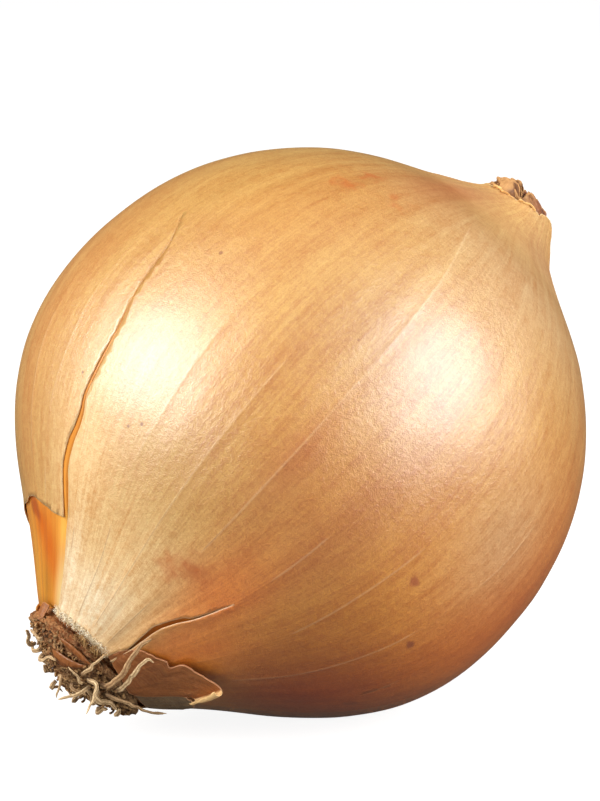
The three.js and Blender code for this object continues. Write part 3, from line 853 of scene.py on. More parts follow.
# paint, strength, middle as (way, around), half size in degrees of way and around
WASHES = [
    (AMBER, 0.9, (122, 282), (40, 34)),         # the warm lower side
    (RUSSET, 0.9, (136, 310), (26, 36)),        # dark red-brown low on the right: partly the skin's own colour, partly painted shade near the floor
    (RUST, 0.8, (95, 318), (40, 30)),
    (CHESTNUT, 0.6, (112, 262), (24, 16)),
    (CREAM, 0.8, (152, 232), (16, 22)),         # pale by the roots
    (STRAW, 0.75, (162, 222), (8, 22)),
    (ORANGE, 0.7, (154, 273), (14, 13)),
    (UMBER, 0.6, (17, 205), (12, 30)),          # darker by the neck: partly the skin's own colour, partly painted shade round its foot
    (UMBER, 0.7, (17, 285), (13, 34)),
    (STRAW, 0.7, (158, 203), (12, 5)),
    (STRAW, 0.9, (167.4, 224), (1.5, 24)),
    (OCHRE, 0.7, (72, 205), (26, 13)),
    (OCHRE, 0.7, (93, 232), (20, 6)),           # a darker rib
    (BUFF, 0.7, (40, 262), (16, 50)),           # the shoulder of the neck
    (HONEY, 0.7, (110, 168), (45, 16)),
    (OCHRE, 0.6, (62, 222), (9, 14)),
    (CREAM, 0.7, (135, 200), (20, 16)),
    (CHESTNUT, 0.6, (106, 246), (14, 6)),
    (ORANGE, 0.7, (138, 258), (14, 10)),
    (BUFF, 0.6, (86, 292), (16, 14)),
    (OCHRE, 0.7, (52, 205), (8, 16)),
    (CHESTNUT, 0.7, (30, 217), (15, 12)),
    # painted shade: the next two washes tone down the skin under the right and the left highlight, so
    # that the highlights stay white
    (UMBER, 0.5, (77, 250), (14, 16)),
    (HONEY, 0.3, (106, 212), (9, 11)),
    (HONEY, 0.7, (72, 62), (42, 56)),           # the far side
    (COPPER, 0.6, (128, 50), (26, 34)),
    (HONEY, 0.75, (104, 4), (48, 24)),
]


def add_washes(piece, ground, washes, way, around):
    """Stores a ground colour with the washes over it, as a colour for each point."""
    way, around = np.ravel(way), np.ravel(around)
    tone = np.tile(paint(*ground), (len(way), 1))
    for colour, strength, (wash_way, wash_turn), (tall, wide) in washes:
        far = ((way - wash_way) / tall) ** 2 + (turn_between(around, wash_turn) / wide) ** 2
        share = (strength * np.exp(-far))[..., None]
        tone += share * (np.array(paint(*colour)) - tone)
    layer = piece.data.color_attributes.new("tone", "FLOAT_COLOR", "POINT")
    opaque = np.column_stack([tone, np.ones(len(tone))]).astype(np.float32)
    layer.data.foreach_set("color", opaque.ravel())


print(len(WASHES), "washes in", len({wash[0] for wash in WASHES}), "paints")

# %% Wrap the map round the body
PAPER = 0.12                        # mm, the dry skin's thickness
skin = add_object("papery_skin", to_world(on_skin(ways, turns, lift)), triangles.tolist())
torn_edge = np.min([gap + 0.3 * name.startswith("crack") * fade(ways, 124, 108)
                    for name, gap in gap_to.items()], axis=0)
add_values(skin, torn_edge=torn_edge, vein=to_vein + 2 * (1 - vein_share),
           vein_low=fade(ways, 116, 136), gloss=fade(ways, 14, 34),
           fibre=round_the_axis(ways, turns, 1, 1))
add_washes(skin, TAN, WASHES, ways, turns)
welder = bmesh.new()
welder.from_mesh(skin.data)
bmesh.ops.remove_doubles(welder, verts=welder.verts, dist=1e-7)
bmesh.ops.delete(welder, geom=[v for v in welder.verts if not v.link_faces], context="VERTS")
welder.to_mesh(skin.data)
welder.free()
give_thickness(skin, PAPER)
print("the wrapped skin has", len(skin.data.vertices), "points, inside and outside")

# %% The spots and the finish of the skin
# (way, around), radius and softness in mm, unevenness, strength, paint
SPOTS = [
    ((141, 242.3), 1.2, 1.9, 1.2, 0.7, (204, 100, 12)),
    ((138.2, 247.9), 1.4, 2.0, 1.3, 0.75, (196, 92, 10)),
    ((54, 207), 1.2, 1.5, 2.2, 0.6, (190, 98, 30)),
    ((46, 207), 0.9, 1.2, 2.0, 0.6, (188, 92, 26)),
    ((49, 219), 1.0, 1.5, 2.0, 0.5, (190, 98, 30)),
    ((105.5, 282), 0.75, 0.5, 0.8, 0.75, (170, 78, 36)),
    ((113, 297.5), 0.55, 0.35, 0.5, 0.8, (150, 70, 34)),
    ((128, 318), 1.0, 0.6, 0.8, 0.5, (140, 66, 32)),
]
DOT = (0.1, 1.0, (152, 90, 30))     # unevenness, strength and paint of the smallest ones
DOTS = [((85.2, 205.3), 0.22, 0.12), ((121, 215.5), 0.25, 0.12), ((123, 212.5), 0.2, 0.1),
        ((119.3, 193.3), 0.18, 0.1), ((82, 239), 0.16, 0.1)]
# the pattern's lightest and darkest, as shares of red, green and blue
SKIN_LIGHT, SKIN_DARK = (1.27, 1.58, 1.96), (0.73, 0.42, 0.04)


def make_skin_material():
    finish = Finish("dry_onion_skin", "tone", 0.33, coat=1.0, coat_roughness=0.39,
                    specular=1.0, bend=1.58)
    finish.put(finish.shader["Coat IOR"], 1.66)
    fine, broad = finish.streaks(0.28, 5.0), finish.streaks(1.9, 26.0)
    cells, grain = finish.mottle(0.4, 0.3), finish.mottle(0.17, 0.3)
    clumps, patches = finish.mottle(1.0, 0.5), finish.mottle(6.0, 0.3)
    pattern = 0.0
    for part, share in ((broad, 0.2), (fine, 0.2), (grain, 0.22), (cells, 0.16), (clumps, 0.12),
                        (patches, 0.1)):
        pattern = finish.maths("MULTIPLY_ADD", part, share, pattern)
    finish.cover(finish.mix(pattern, SKIN_LIGHT, SKIN_DARK), 1.0, blend="MULTIPLY")
    for place, *sizes, strength, stain in SPOTS + [(*dot, *DOT) for dot in DOTS]:
        finish.cover(paint(*stain), finish.spot(on_skin(*place), *sizes), strength)
    to_vein = finish.value("vein")
    finish.cover(paint(255, 226, 178), finish.ramp(to_vein, 0.24, 0.05, 0.0, 0.16))
    line = finish.times(finish.ramp(to_vein, 0.13, 0.02, 0.0, 0.4), finish.value("vein_low"))
    finish.cover(paint(150, 92, 36), line)
    finish.cover(paint(250, 222, 170), finish.ramp(finish.value("torn_edge"), 0.22, 0.0, 0.0, 0.5))
    gloss = finish.value("gloss")
    finish.put(finish.shader["Coat Weight"], gloss)
    dull = finish.ramp(gloss, 0.0, 1.0, 0.35, 0.0)
    rough = finish.maths("ADD", finish.ramp(cells, 0, 1, 0.35, 0.44), dull)
    finish.put(finish.shader["Roughness"], rough)
    height = grain
    for part, share in ((clumps, 1.6), (cells, 0.6), (broad, 0.5)):
        height = finish.maths("MULTIPLY_ADD", part, share, height)
    return finish.done(height, 0.45, 0.04)


finish_piece(skin, make_skin_material(), "papery_skin", "outer_skin")

# %% [markdown]
# ## The moist layer under the skin
#
# Through the window, the crack and the split one sees the next layer, which is alive:
# smooth, faintly ribbed, orange and a little glossy, with red-brown stains where the dry
# skin has dyed it. It is one closed form that fills the skin, so a plain grid of points
# round the axis, closed at both ends, is all it needs. It keeps a small gap to the skin.
# The crack is so narrow that this gap would be lost in shadow. A thin strip, arched up
# between the torn edges, brings the layer's colour close to the surface there.

# %% The moist layer
LAYER_GAP = 0.05                    # mm between the dry skin and the moist layer
MOIST_ROWS, MOIST_SIDES, MOIST_TOP = 150, 300, 4
MOIST_GOLD = (224, 150, 54)
MOIST_WASHES = [                    # as for the papery skin
    ((216, 160, 66), 0.8, (162.4, 160.5), (8, 8)), ((182, 128, 42), 0.85, (163.4, 178), (5.5, 9)),
    # the three deep orange washes that follow are partly the layer's own colour and partly painted
    # shade in the window
    ((208, 106, 22), 0.9, (152.8, 173.5), (3.6, 8.5)),
    ((204, 104, 22), 0.85, (156.6, 180.5), (3.8, 8)),
    ((206, 108, 24), 0.75, (159.6, 186), (3.2, 4.5)), ((255, 200, 88), 0.95, (150.5, 194.8), (5, 4.5)),
    ((232, 214, 152), 0.9, (163.4, 196.3), (7.4, 4.8)), ((226, 156, 62), 0.9, (138, 195), (9, 7)),
    # painted shade: the last wash on the next line darkens the strip at the crack's narrow top, where
    # the gap lies in shade
    ((216, 152, 76), 0.9, (118, 197), (12, 8)), ((188, 126, 64), 0.8, (96, 194), (12, 10)),
    ((206, 118, 42), 0.9, (153, 257), (9, 6)),
]
moist_ways, moist_turns = np.meshgrid(np.linspace(MOIST_TOP, COLLAR - 0.3, MOIST_ROWS),
                                      np.arange(MOIST_SIDES) * 360 / MOIST_SIDES, indexing="ij")
ribs = round_the_axis(moist_ways, moist_turns, 2.0, 60)
moist_lift = relief(moist_ways, moist_turns) - PAPER - LAYER_GAP
moist_lift -= 0.1 * (1 + soft_noise(ribs, 51)) * fade(moist_ways, 144, 152)
moist_radius = skin_radius(moist_ways, moist_turns) + moist_lift
moist_radius -= bump(moist_ways, *NECK_RISE) * 0.6
moist_points = tube_points(polar_point(moist_radius, moist_ways, moist_turns))
moist = add_object("moist_layer", to_world(moist_points, PAPER + LAYER_GAP),
                   tube_faces(MOIST_ROWS, MOIST_SIDES, turned=1))
cap_ways, cap_turns = capped(moist_ways, MOIST_TOP, COLLAR), capped(moist_turns)
add_values(moist, fibre=round_the_axis(cap_ways, cap_turns, 1, 1))
add_washes(moist, MOIST_GOLD, MOIST_WASHES, cap_ways, cap_turns)

# %% Its finish, with the stain at the top of the window
STAINS = [((149.2, 164.5), 1.3), ((150, 168.5), 1.15), ((151.4, 170.5), 0.7)]


def make_moist_material():
    finish = Finish("moist_onion_layer", "tone", 0.3, coat=0.3, coat_roughness=0.15)
    fine, broad = finish.streaks(0.35, 14.0), finish.streaks(1.6, 40.0, 2.0)
    dark = finish.darker(226, 176, 120)
    finish.cover(dark, broad, 0.3)
    finish.cover(dark, fine, 0.3)
    for (way, turn), radius in STAINS:
        mask = finish.spot(on_skin(way, turn, -PAPER - LAYER_GAP), radius, 0.5, 0.3)
        finish.cover(paint(176, 84, 28), mask, 0.8)
    return finish.done(fine, 0.3, 0.05)


moist_finish = make_moist_material()
finish_piece(moist, moist_finish, "moist_skin", "bulb")

# %% A strip of the next dry layer, seen in the crack
STRIP_DEPTH, STRIP_SIDE = 0.02, 0.3     # mm under the surface, and mm past each torn edge
STRIP_FOOT = PAPER + 0.03               # how deep it is under the torn edges
STRIP_COLUMNS = 13
strip_line = resampled(smooth_line(CRACK[:, :2], 8), 0.4)
strip_half = np.interp(-strip_line[:, 0], -CRACK[:, 0], CRACK[:, 2]) * turn_mm(strip_line[:, 0])
asides = [side * (strip_half + STRIP_SIDE) for side in np.linspace(-1, 1, STRIP_COLUMNS)]
sunk = np.stack([fade(np.abs(aside) / strip_half, 0.85, 1.1) for aside in asides], 1)
strip_marks = np.stack([pushed(strip_line, aside) for aside in asides], 1)
strip_ways, strip_turns = strip_marks.transpose(2, 0, 1)
strip_depth = STRIP_DEPTH + (STRIP_FOOT - STRIP_DEPTH) * sunk
strip_lift = relief(strip_ways, strip_turns) - strip_depth
strip_places = to_world(on_skin(strip_ways, strip_turns, strip_lift))
layer_strip = add_object("layer_in_the_crack", strip_places,
                         sheet_faces(len(strip_line), STRIP_COLUMNS))
add_values(layer_strip, fibre=round_the_axis(strip_ways, strip_turns, 1, 1))
add_washes(layer_strip, MOIST_GOLD, MOIST_WASHES, strip_ways, strip_turns)
give_thickness(layer_strip, 0.015)
finish_piece(layer_strip, moist_finish, "papery_skin")

# %% [markdown]
# ## The dried neck
#
# Where the leaves were cut off, their dry feet stand inside each other like the layers of
# a rolled paper bag that was twisted shut. One leaf foot is a tube with pleats, a ragged
# rim that rolls outwards a little, and crumpled paper between. So one function makes such
# a tube from a few numbers, and it is called once for each layer, from the outside in.
# Its rim is drawn as a height for each angle, which allows notches and points. Below the
# torn lip of the skin a tube is drawn in a little, so that it never pokes through the skin.

# %% The layers of the neck
# The neck leans, and its top slopes: middle (along the lean) and radius at each height
NECK_AXIS = [(38.5, 1), (41.2, 0.9), (42.4, 0.75), (43.2, 0.4), (44, 0), (44.8, -0.7), (45.6, -1.7)]
NECK_GIRTH = [(38.5, 8.6), (40, 6.9), (41.2, 5.75), (42.4, 5.15), (43.2, 4.6), (44, 3.95),
              (44.8, 2.9), (45.6, 1.5)]
SHEATH_ROWS, SHEATH_SIDES = 44, 264
PLEAT = 0.17                        # how deep a pleat is, as a share of its own scale


def at_height(table, height):
    return np.interp(height, *np.transpose(table))


def along_first(radius, around, height):
    """Places for a noise that is told the height first, then the two sides."""
    return np.roll(at_turn(radius, around, height), 1, axis=-1)


def towards_lean(around):
    """1 on the side that the neck leans to, -1 on the other side."""
    return np.cos(np.radians(around) - math.radians(NECK_SIDE))


def kept_inside(places, around):
    """Where the skin still covers the neck, the places are drawn in to stay under it."""
    height, side = places[..., 2], math.radians(NECK_SIDE)
    middle = neck_shift(height)[..., None] * (math.cos(side), math.sin(side))
    room = np.interp(height, *neck_curve.T) - PAPER - 0.15
    reach = np.linalg.norm(places[..., :2] - middle, axis=-1)
    lip_height = np.interp(lip_way(around), neck_ways[::-1], neck_curve[::-1, 0])
    covered = fade(height - lip_height, 0.5, 0.15)
    share = 1 - covered * (1 - np.minimum(1, room / reach))
    places[..., :2] = middle + (places[..., :2] - middle) * share[..., None]
    return places


def neck_sheath(name, foot, rim, inset, pleats, twist, seed, depth, roll=0.2):
    """A dry leaf foot. rim lists (around, height) corners of its torn edge; inset is how
    far it stands inside the neck's outside; twist turns its pleats, in degrees for a mm,
    and depth is how deep they are, 1 for strong ones."""
    turn = np.arange(SHEATH_SIDES) * 360 / SHEATH_SIDES
    top = height_round(rim, turn)
    top = top + 0.1 * rough_noise(round_the_axis(0 * turn, turn, 2.2, 1), seed, 3)
    share = np.linspace(0, 1, SHEATH_ROWS)[:, None]
    height = foot + (top - foot) * share
    around = turn + 0 * share
    girth = at_height(NECK_GIRTH, height) - inset
    fold = np.radians(pleats * (around + twist * (height - foot)))
    drift = soft_noise(along_first(2.2, around, height / 1.6), seed + 5)
    waves = PLEAT * np.sin(fold + 2.6 * drift) + 0.1 * np.sin(2.3 * fold + 4 * drift + seed)
    crumple = rough_noise(along_first(4.5, around, height / 0.9), seed + 9, 3)
    loose = fade(share, 0.15, 0.8)
    radius = girth * (1 + 0.055 * depth * loose * waves / PLEAT) + 0.24 * loose * crumple
    radius = radius + roll * fade(share, 0.86, 1.0) * (1 + 0.4 * drift)
    height = height - 0.25 * roll * fade(share, 0.93, 1.0)
    places = at_turn(radius, around, height, at_height(NECK_AXIS, height), NECK_SIDE)
    places = kept_inside(places, around)
    faces = tube_faces(SHEATH_ROWS, SHEATH_SIDES, closed_ends=False)
    sheath = add_object(name, to_world(places), faces)
    add_values(sheath, fibre=at_turn(5, around, height), height_share=share + 0 * height,
               fold_depth=depth * waves + 0.6 * crumple * PLEAT, side_turn=towards_lean(around))
    give_thickness(sheath, 0.16)
    return sheath


sheaths = [
    neck_sheath("neck_sheath_outer", 38.6, [
        (178, 43.5), (196, 43.8), (206, 43.9), (214, 43.9), (222, 43.5), (226, 42.8), (230, 42.1),
        (234, 42.2), (238, 43.2), (246, 44), (258, 44), (270, 44.2), (280, 44.1), (290, 43.8),
        (335, 43.6), (20, 43.3), (70, 42.9), (130, 43.1)], 0.0, 6, 14.0, 101, 1.0),
    neck_sheath("neck_sheath_middle", 38.8, [
        (180, 44), (200, 44.5), (212, 44.9), (221, 44.5), (227, 43.1), (232, 42.5), (237, 43.2),
        (243, 44), (258, 44.5), (280, 44.5), (320, 44.2), (10, 44.2), (60, 43.9), (120, 43.9)],
        0.5, 7, 14.0, 113, 1.1),
    neck_sheath("neck_sheath_inner", 39.0, [
        (170, 44.9), (195, 45.1), (214, 45.2), (223, 44.8), (229, 43.3), (233, 42.8), (238, 43.6),
        (244, 44.3), (262, 44.7), (290, 44.4), (340, 44.4), (40, 44.5), (110, 44.7)],
        1.2, 5, 20.0, 127, 1.0),
]
print([sheath.name for sheath in sheaths])

# %% The twisted core
CORE_ROWS, CORE_SIDES = 50, 120
CORE_FOOT, CORE_LENGTH = 39.4, 5.4
core_share, core_turn = np.meshgrid(np.linspace(0, 1, CORE_ROWS),
                                    np.arange(CORE_SIDES) * 360 / CORE_SIDES, indexing="ij")
core_height = CORE_FOOT + CORE_LENGTH * core_share
core_noise = rough_noise(along_first(3, core_turn, core_height / 0.8), 140, 3)
core_wave = np.sin(np.radians(5 * (core_turn + 24 * (core_height - CORE_FOOT))) + 2 * core_noise)
core_radius = (at_height(NECK_GIRTH, core_height) - 2.1) * (1 - 0.5 * fade(core_share, 0.8, 1.0))
core_radius = np.maximum(0.3, core_radius * (1 + 0.16 * core_wave + 0.1 * core_noise))
core_rings = at_turn(core_radius, core_turn, core_height + 0.25 * core_noise * core_share,
                     at_height(NECK_AXIS, core_height), NECK_SIDE)
core = add_object("neck_core_twist", to_world(tube_points(core_rings)),
                  tube_faces(CORE_ROWS, CORE_SIDES))
add_values(core, fibre=tube_points(at_turn(4, core_turn, core_height)),
           fold_depth=capped(PLEAT * core_wave), height_share=capped(core_share, 0, 1),
           side_turn=capped(towards_lean(core_turn)))


# %% Finish of the dry neck
def make_neck_material(name, light, dark, deep):
    finish = Finish(name, light, 0.62, coat=0.08, coat_roughness=0.4)
    fine, cells = finish.streaks(0.16, 1.6), finish.mottle(0.9, 0.4)
    share = finish.value("height_share")
    finish.cover(dark, fine, 0.5)
    finish.cover(dark, cells, 0.4)
    right_side = finish.ramp(finish.value("side_turn"), -0.12, 0.4)
    red = finish.times(right_side, finish.ramp(share, 0.3, 0.85))
    finish.cover(paint(128, 68, 38), red, 0.85)
    # painted shade: the hollows of the pleats and crumples are darkened towards the deep colour
    finish.cover(deep, finish.ramp(finish.value("fold_depth"), 0.03, -0.16, 0.0, 0.8))
    finish.cover(paint(214, 162, 100), finish.ramp(share, 0.945, 0.985), 0.5)
    return finish.done(finish.maths("MULTIPLY_ADD", fine, 0.8, cells), 0.5, 0.08)


neck_paper = make_neck_material("dry_neck_paper", paint(204, 154, 96), paint(166, 114, 64),
                                paint(96, 50, 24))
neck_inside = make_neck_material("dry_neck_core", paint(150, 90, 48), paint(112, 58, 30),
                                 paint(60, 30, 18))
for sheath, nodes in zip(sheaths, (["neck_sheath"], [], [])):
    finish_piece(sheath, neck_paper, "dried_neck", *nodes)
finish_piece(core, neck_inside, "dried_neck", "neck_core")

# %% [markdown]
# ## The root plate
#
# The root plate is the onion's real stem: a corky cone that the leaves and the roots grow
# from. It is as rough as bark, with thin ledges where old leaves sat, pits, and cracks. A
# turned profile gives its form. Its roughness is too coarse for a bump in the finish, so
# the points themselves are moved, by ledges that run round it, by cork and by pits.

# %% The profile, and the surface that grows on it
PLATE_RADIUS, PLATE_WAIST, PLATE_SIDES = 9.5, 8.5, 300
PLATE_TOP, PLATE_RIM, PLATE_EDGE, PLATE_BOTTOM = -40.5, -41.8, -42.7, -46.6
PLATE_CONE = 1.1                    # 1 is a straight cone, more is a fuller dome


def plate_face(across):
    rise = PLATE_EDGE - PLATE_BOTTOM
    return PLATE_BOTTOM + rise * (np.asarray(across, float) / PLATE_RADIUS) ** PLATE_CONE


def on_plate(across, around, above=0.0):
    """A place on the face of the plate: mm from the axis, degrees round it, mm above."""
    slope = math.atan2(PLATE_EDGE - PLATE_BOTTOM, PLATE_RADIUS)
    height = plate_face(across) - above * math.cos(slope)
    return at_turn(across + above * math.sin(slope), around, height)


face_marks = np.linspace(9.3, 0.25, 70)
profile = np.vstack([
    [(7.3, PLATE_TOP), (8.3, PLATE_TOP - 0.05), (PLATE_WAIST, PLATE_TOP - 0.3)],
    resampled([(PLATE_WAIST, PLATE_TOP - 0.6), (PLATE_WAIST, PLATE_RIM + 0.2), (9, PLATE_RIM),
               (9.35, PLATE_RIM - 0.3), (PLATE_RADIUS, PLATE_EDGE)], 0.02),
    np.stack([face_marks, plate_face(face_marks)], -1)])
plate_across, plate_turn = np.meshgrid(profile[:, 0], np.arange(PLATE_SIDES) * 360 / PLATE_SIDES,
                                       indexing="ij")
plate_height = profile[:, 1:] + 0 * plate_turn
plate_rings = at_turn(plate_across, plate_turn, plate_height)
profile_out = unit(np.gradient(profile, axis=0)[:, ::-1] * (-1, 1))
out = at_turn(profile_out[:, :1], plate_turn, profile_out[:, 1:])
ledges = rough_noise(along_first(3.2, plate_turn, plate_across / 0.5 + plate_height), 201, 3)
cork = rough_noise(plate_rings / 0.85, 211, 4)
pits = fade(rough_noise(plate_rings / 1.25, 221, 3), 0.28, 0.62)
on_face = fade(-plate_height, 41.4, 42.2)
plate_rise = on_face * (0.34 * ledges + 0.26 * cork - 0.95 * pits) + 0.05 * cork
plate_rings = plate_rings + plate_rise[..., None] * out
print("the plate's profile is", len(profile), "places long; its surface rises",
      plate_rise.max().round(2), "and sinks", -plate_rise.min().round(2), "mm")

# %% The root plate
PLATE_BROWN = (150, 98, 56)
# the washes are placed by mm from the axis (as 10 for each mm) and the angle round it
PLATE_WASHES = [
    ((168, 98, 50), 0.8, (75, 200), (40, 40)), ((132, 70, 32), 0.8, (85, 232), (26, 22)),
    ((118, 90, 58), 0.85, (60, 285), (60, 40)), ((104, 78, 52), 0.7, (90, 320), (50, 40)),
    ((104, 72, 44), 0.7, (30, 250), (26, 70)), ((186, 122, 66), 0.5, (92, 178), (18, 24)),
]


def make_cork_material():
    finish = Finish("cork_of_the_root_plate", "tone", 0.85, specular=0.3)
    fine, broad = finish.mottle(0.35, 0.7), finish.mottle(1.3, 0.6)
    hollow = finish.value("hollow")
    pale = finish.mix(0.55, finish.colour, paint(214, 176, 124))
    finish.cover(finish.darker(140, 120, 108), broad, 0.55)
    finish.cover(pale, fine, 0.4)
    finish.cover(pale, finish.ramp(hollow, -0.05, -0.4, 0.0, 0.6))
    # painted shade: the deepest pits are darkened almost to black
    finish.cover(paint(34, 22, 16), finish.ramp(hollow, 0.1, 0.6, 0.0, 0.9))
    return finish.done(finish.maths("MULTIPLY_ADD", broad, 1.5, fine), 0.8, 0.15)


root_plate = add_object("corky_root_plate", to_world(tube_points(plate_rings), 0.3),
                        tube_faces(len(profile), PLATE_SIDES, turned=1))
add_values(root_plate, hollow=capped(-plate_rise))
add_washes(root_plate, PLATE_BROWN, PLATE_WASHES, capped(plate_across * 10), capped(plate_turn))
finish_piece(root_plate, make_cork_material(), "root_plate", "root_plate")

# %% [markdown]
# ## The feet of the oldest leaves
#
# Two old leaves have left a smooth, red-brown foot across the plate, like the stumps of
# peeled bark. Each is a strip between two lines on the plate that bulges in the middle.
# Lines through a few places give the strip's edges; the rows between them are blended,
# lifted in a low arch, and given a thickness.

# %% A curved strip between two edges
FOOT_ROWS, FOOT_COLUMNS = 60, 14


def strip(name, edges, crown, seed, ragged=0.06):
    """The edges are two lists of places in mm; crown is how high the strip arches."""
    sides = []
    for number, edge in enumerate(edges):
        line = smooth_line(edge, 12)
        line, even = evened(line, lengths_along(line), FOOT_ROWS)
        rough = rough_noise(np.stack([even / 0.5, 0 * even + number], -1), seed, 3)
        sides.append(line + ragged * rough[:, None])
    s, t = np.meshgrid(np.linspace(0, 1, FOOT_ROWS), np.linspace(0, 1, FOOT_COLUMNS),
                       indexing="ij")
    places = sides[0][:, None] * (1 - t[..., None]) + sides[1][:, None] * t[..., None]
    outward = unit(np.cross(np.gradient(places, axis=0), np.gradient(places, axis=1)))
    outward *= np.sign((outward * places).sum(-1, keepdims=True))
    arch = crown * np.sin(np.pi * t) * np.sin(np.pi * s) ** 0.5
    arch = arch + 0.03 * soft_noise(np.stack([t * 9, s * 3], -1), seed + 1)
    places = places + outward * arch[..., None]
    piece = add_object(name, to_world(places, 0.2), outward_faces(places))
    add_values(piece, across=t)
    give_thickness(piece, 0.3)
    return piece


# %% The two leaf feet, as (mm from the axis, around, mm above the plate) places
LEAF_FEET = [
    ("leaf_foot_upper", 0.12, ["leaf_base_scale"],
     [(8.9, 215, 0.4), (9.25, 226, 0.5), (9.3, 236, 0.6), (9.3, 244, 0.6), (9.2, 250, 0.5)],
     [(8.3, 215, 0.4), (8.2, 226, 0.5), (8.4, 237, 0.6), (8.6, 244, 0.6), (8.9, 250, 0.4)]),
    ("leaf_foot_lower", 0.22, [],
     [(5.9, 201, 0.4), (6.5, 213, 0.6), (6.8, 226, 0.7), (7.3, 238, 0.6), (8, 246, 0.4)],
     [(5, 199, 0.4), (4.8, 210, 0.6), (4.9, 224, 0.8), (5.9, 238, 0.6), (7.3, 247, 0.4)]),
]


def make_leaf_foot_material():
    finish = Finish("old_leaf_foot", paint(140, 80, 26), 0.42, coat=0.3, coat_roughness=0.3)
    fine, across = finish.mottle(0.5, 0.4), finish.value("across")
    finish.cover(paint(112, 60, 20), finish.ramp(across, 0.1, 0.9))
    finish.cover(paint(158, 100, 58), fine, 0.45)
    edge = finish.maths("ABSOLUTE", finish.maths("SUBTRACT", across, 0.5))
    finish.cover(paint(166, 112, 66), finish.ramp(edge, 0.42, 0.5, 0.0, 0.4))
    return finish.done(fine, 0.4, 0.1)


leaf_foot_finish = make_leaf_foot_material()
for name, crown, nodes, *edge_marks in LEAF_FEET:
    foot = strip(name, [[on_plate(*mark) for mark in marks] for marks in edge_marks], crown, 231)
    finish_piece(foot, leaf_foot_finish, "leaf_base", *nodes)

# %% [markdown]
# ## Torn flakes round the root end
#
# Beside the roots a red-brown flake of skin has come loose. Its upper edge is jagged, and
# its far end rolls back and shows the pale inner side. A curl at the collar and scraps on
# the underside and the rear are smaller flakes of the same kind. Each is a patch between
# four edges that are drawn on the skin, as a dressmaker's pattern is, with a height above
# the skin at every place; a roll is added at the far end by going on round a small circle.

# %% A patch between four edges
FLAKE_STEPS, CURL_STEPS, ROLL_STEPS = (90, 40), (24, 30), 25


def even_line(places, count, seed, ragged):
    line = smooth_line(places, 10)
    line, even = evened(line, map_lengths(line), count)
    noise = ragged * rough_noise(even[:, None] / 0.8, seed, 3)
    line[:, :2] = pushed(line[:, :2], noise * np.sin(np.linspace(0, np.pi, count)) ** 0.3)
    return line


def rolled_end(places, outward, radius, angle, seed):
    """Rows of places that go on from the far end of a patch, round a small circle."""
    end, t = places[-1], np.linspace(0, 1, places.shape[1])
    forward = unit(end - places[-3])
    outward = outward - (outward * forward).sum(-1, keepdims=True) * forward
    turns = np.radians(np.linspace(0, angle, ROLL_STEPS + 1)[1:])[:, None, None]
    size = radius * (0.75 + 0.35 * t) * (1 + 0.12 * soft_noise(t[:, None] * 5, seed))
    return end + size[:, None] * (np.sin(turns) * forward + (1 - np.cos(turns)) * outward)


def flake(name, root_edge, free_edge, seed, ragged=(0.05, 0.2), hills=0.1, roll=None,
          steps=FLAKE_STEPS):
    """root_edge and free_edge run the same way and list (way, around, lift) places; ragged
    is how torn each is, in mm; roll is the radius in mm and the angle of the rolled end."""
    length, width = steps
    root = even_line(root_edge, length, seed, ragged[0])
    free = even_line(free_edge, length, seed + 1, ragged[1])
    s, t = np.meshgrid(np.linspace(0, 1, length), np.linspace(0, 1, width), indexing="ij")
    marks = root[:, None] * (1 - t[..., None]) + free[:, None] * t[..., None]
    ways, turns, lift = marks.transpose(2, 0, 1)
    hill = hills * rough_noise(round_the_axis(ways, turns, 1.6, 4), seed + 2, 2)
    places, rolled = on_skin(ways, turns, lift + hill), 0 * s
    if roll:
        rolls = rolled_end(places, skin_normal(ways[-1], turns[-1]), *roll, seed + 3)
        places, s = np.vstack([places, rolls]), np.vstack([s, np.ones((ROLL_STEPS, width))])
        share = np.linspace(0, 1, ROLL_STEPS)[:, None] + np.zeros(width)
        rolled = np.vstack([rolled, share])
    piece = add_object(name, to_world(places, 0.1), outward_faces(places))
    rows, across = np.arange(len(places))[:, None], t[0]
    rim = np.minimum(np.minimum(across, 1 - across) * width, np.minimum(rows, rows[::-1]))
    add_values(piece, fibre=across * 6 + 0 * rows, share=s, rolled=rolled, rim=rim)
    give_thickness(piece, 0.16)
    return piece


# %% The finish of a flake
def make_flake_material(name, tone, light, grey):
    finish = Finish(name, tone, 0.55, coat=0.12, coat_roughness=0.35)
    place = finish.vector(finish.value("fibre"), 0.0, finish.value("share"))
    lines, wide = finish.streaks(0.2, 0.6, 3.0, place), finish.streaks(1.4, 0.8, 2.0, place)
    cells = finish.mottle(0.5, 0.4)
    finish.cover(light, lines, 0.6)
    finish.cover(grey, wide, 0.5)
    finish.cover(light, cells, 0.3)
    finish.cover(paint(226, 164, 118), finish.ramp(finish.value("rim"), 1.2, 0.2), 0.6)
    finish.cover(paint(240, 196, 132), finish.ramp(finish.value("rolled"), 0.05, 0.25))
    return finish.done(finish.maths("ADD", lines, cells), 0.4, 0.1)


red_flake = make_flake_material("red_brown_flake", paint(148, 82, 34), paint(184, 120, 66),
                                paint(110, 60, 26))
grey_flake = make_flake_material("grey_brown_scrap", paint(132, 104, 74), paint(164, 138, 104),
                                 paint(96, 70, 50))
orange_flake = make_flake_material("orange_curl", paint(150, 84, 34), paint(186, 122, 66),
                                   paint(100, 52, 22))

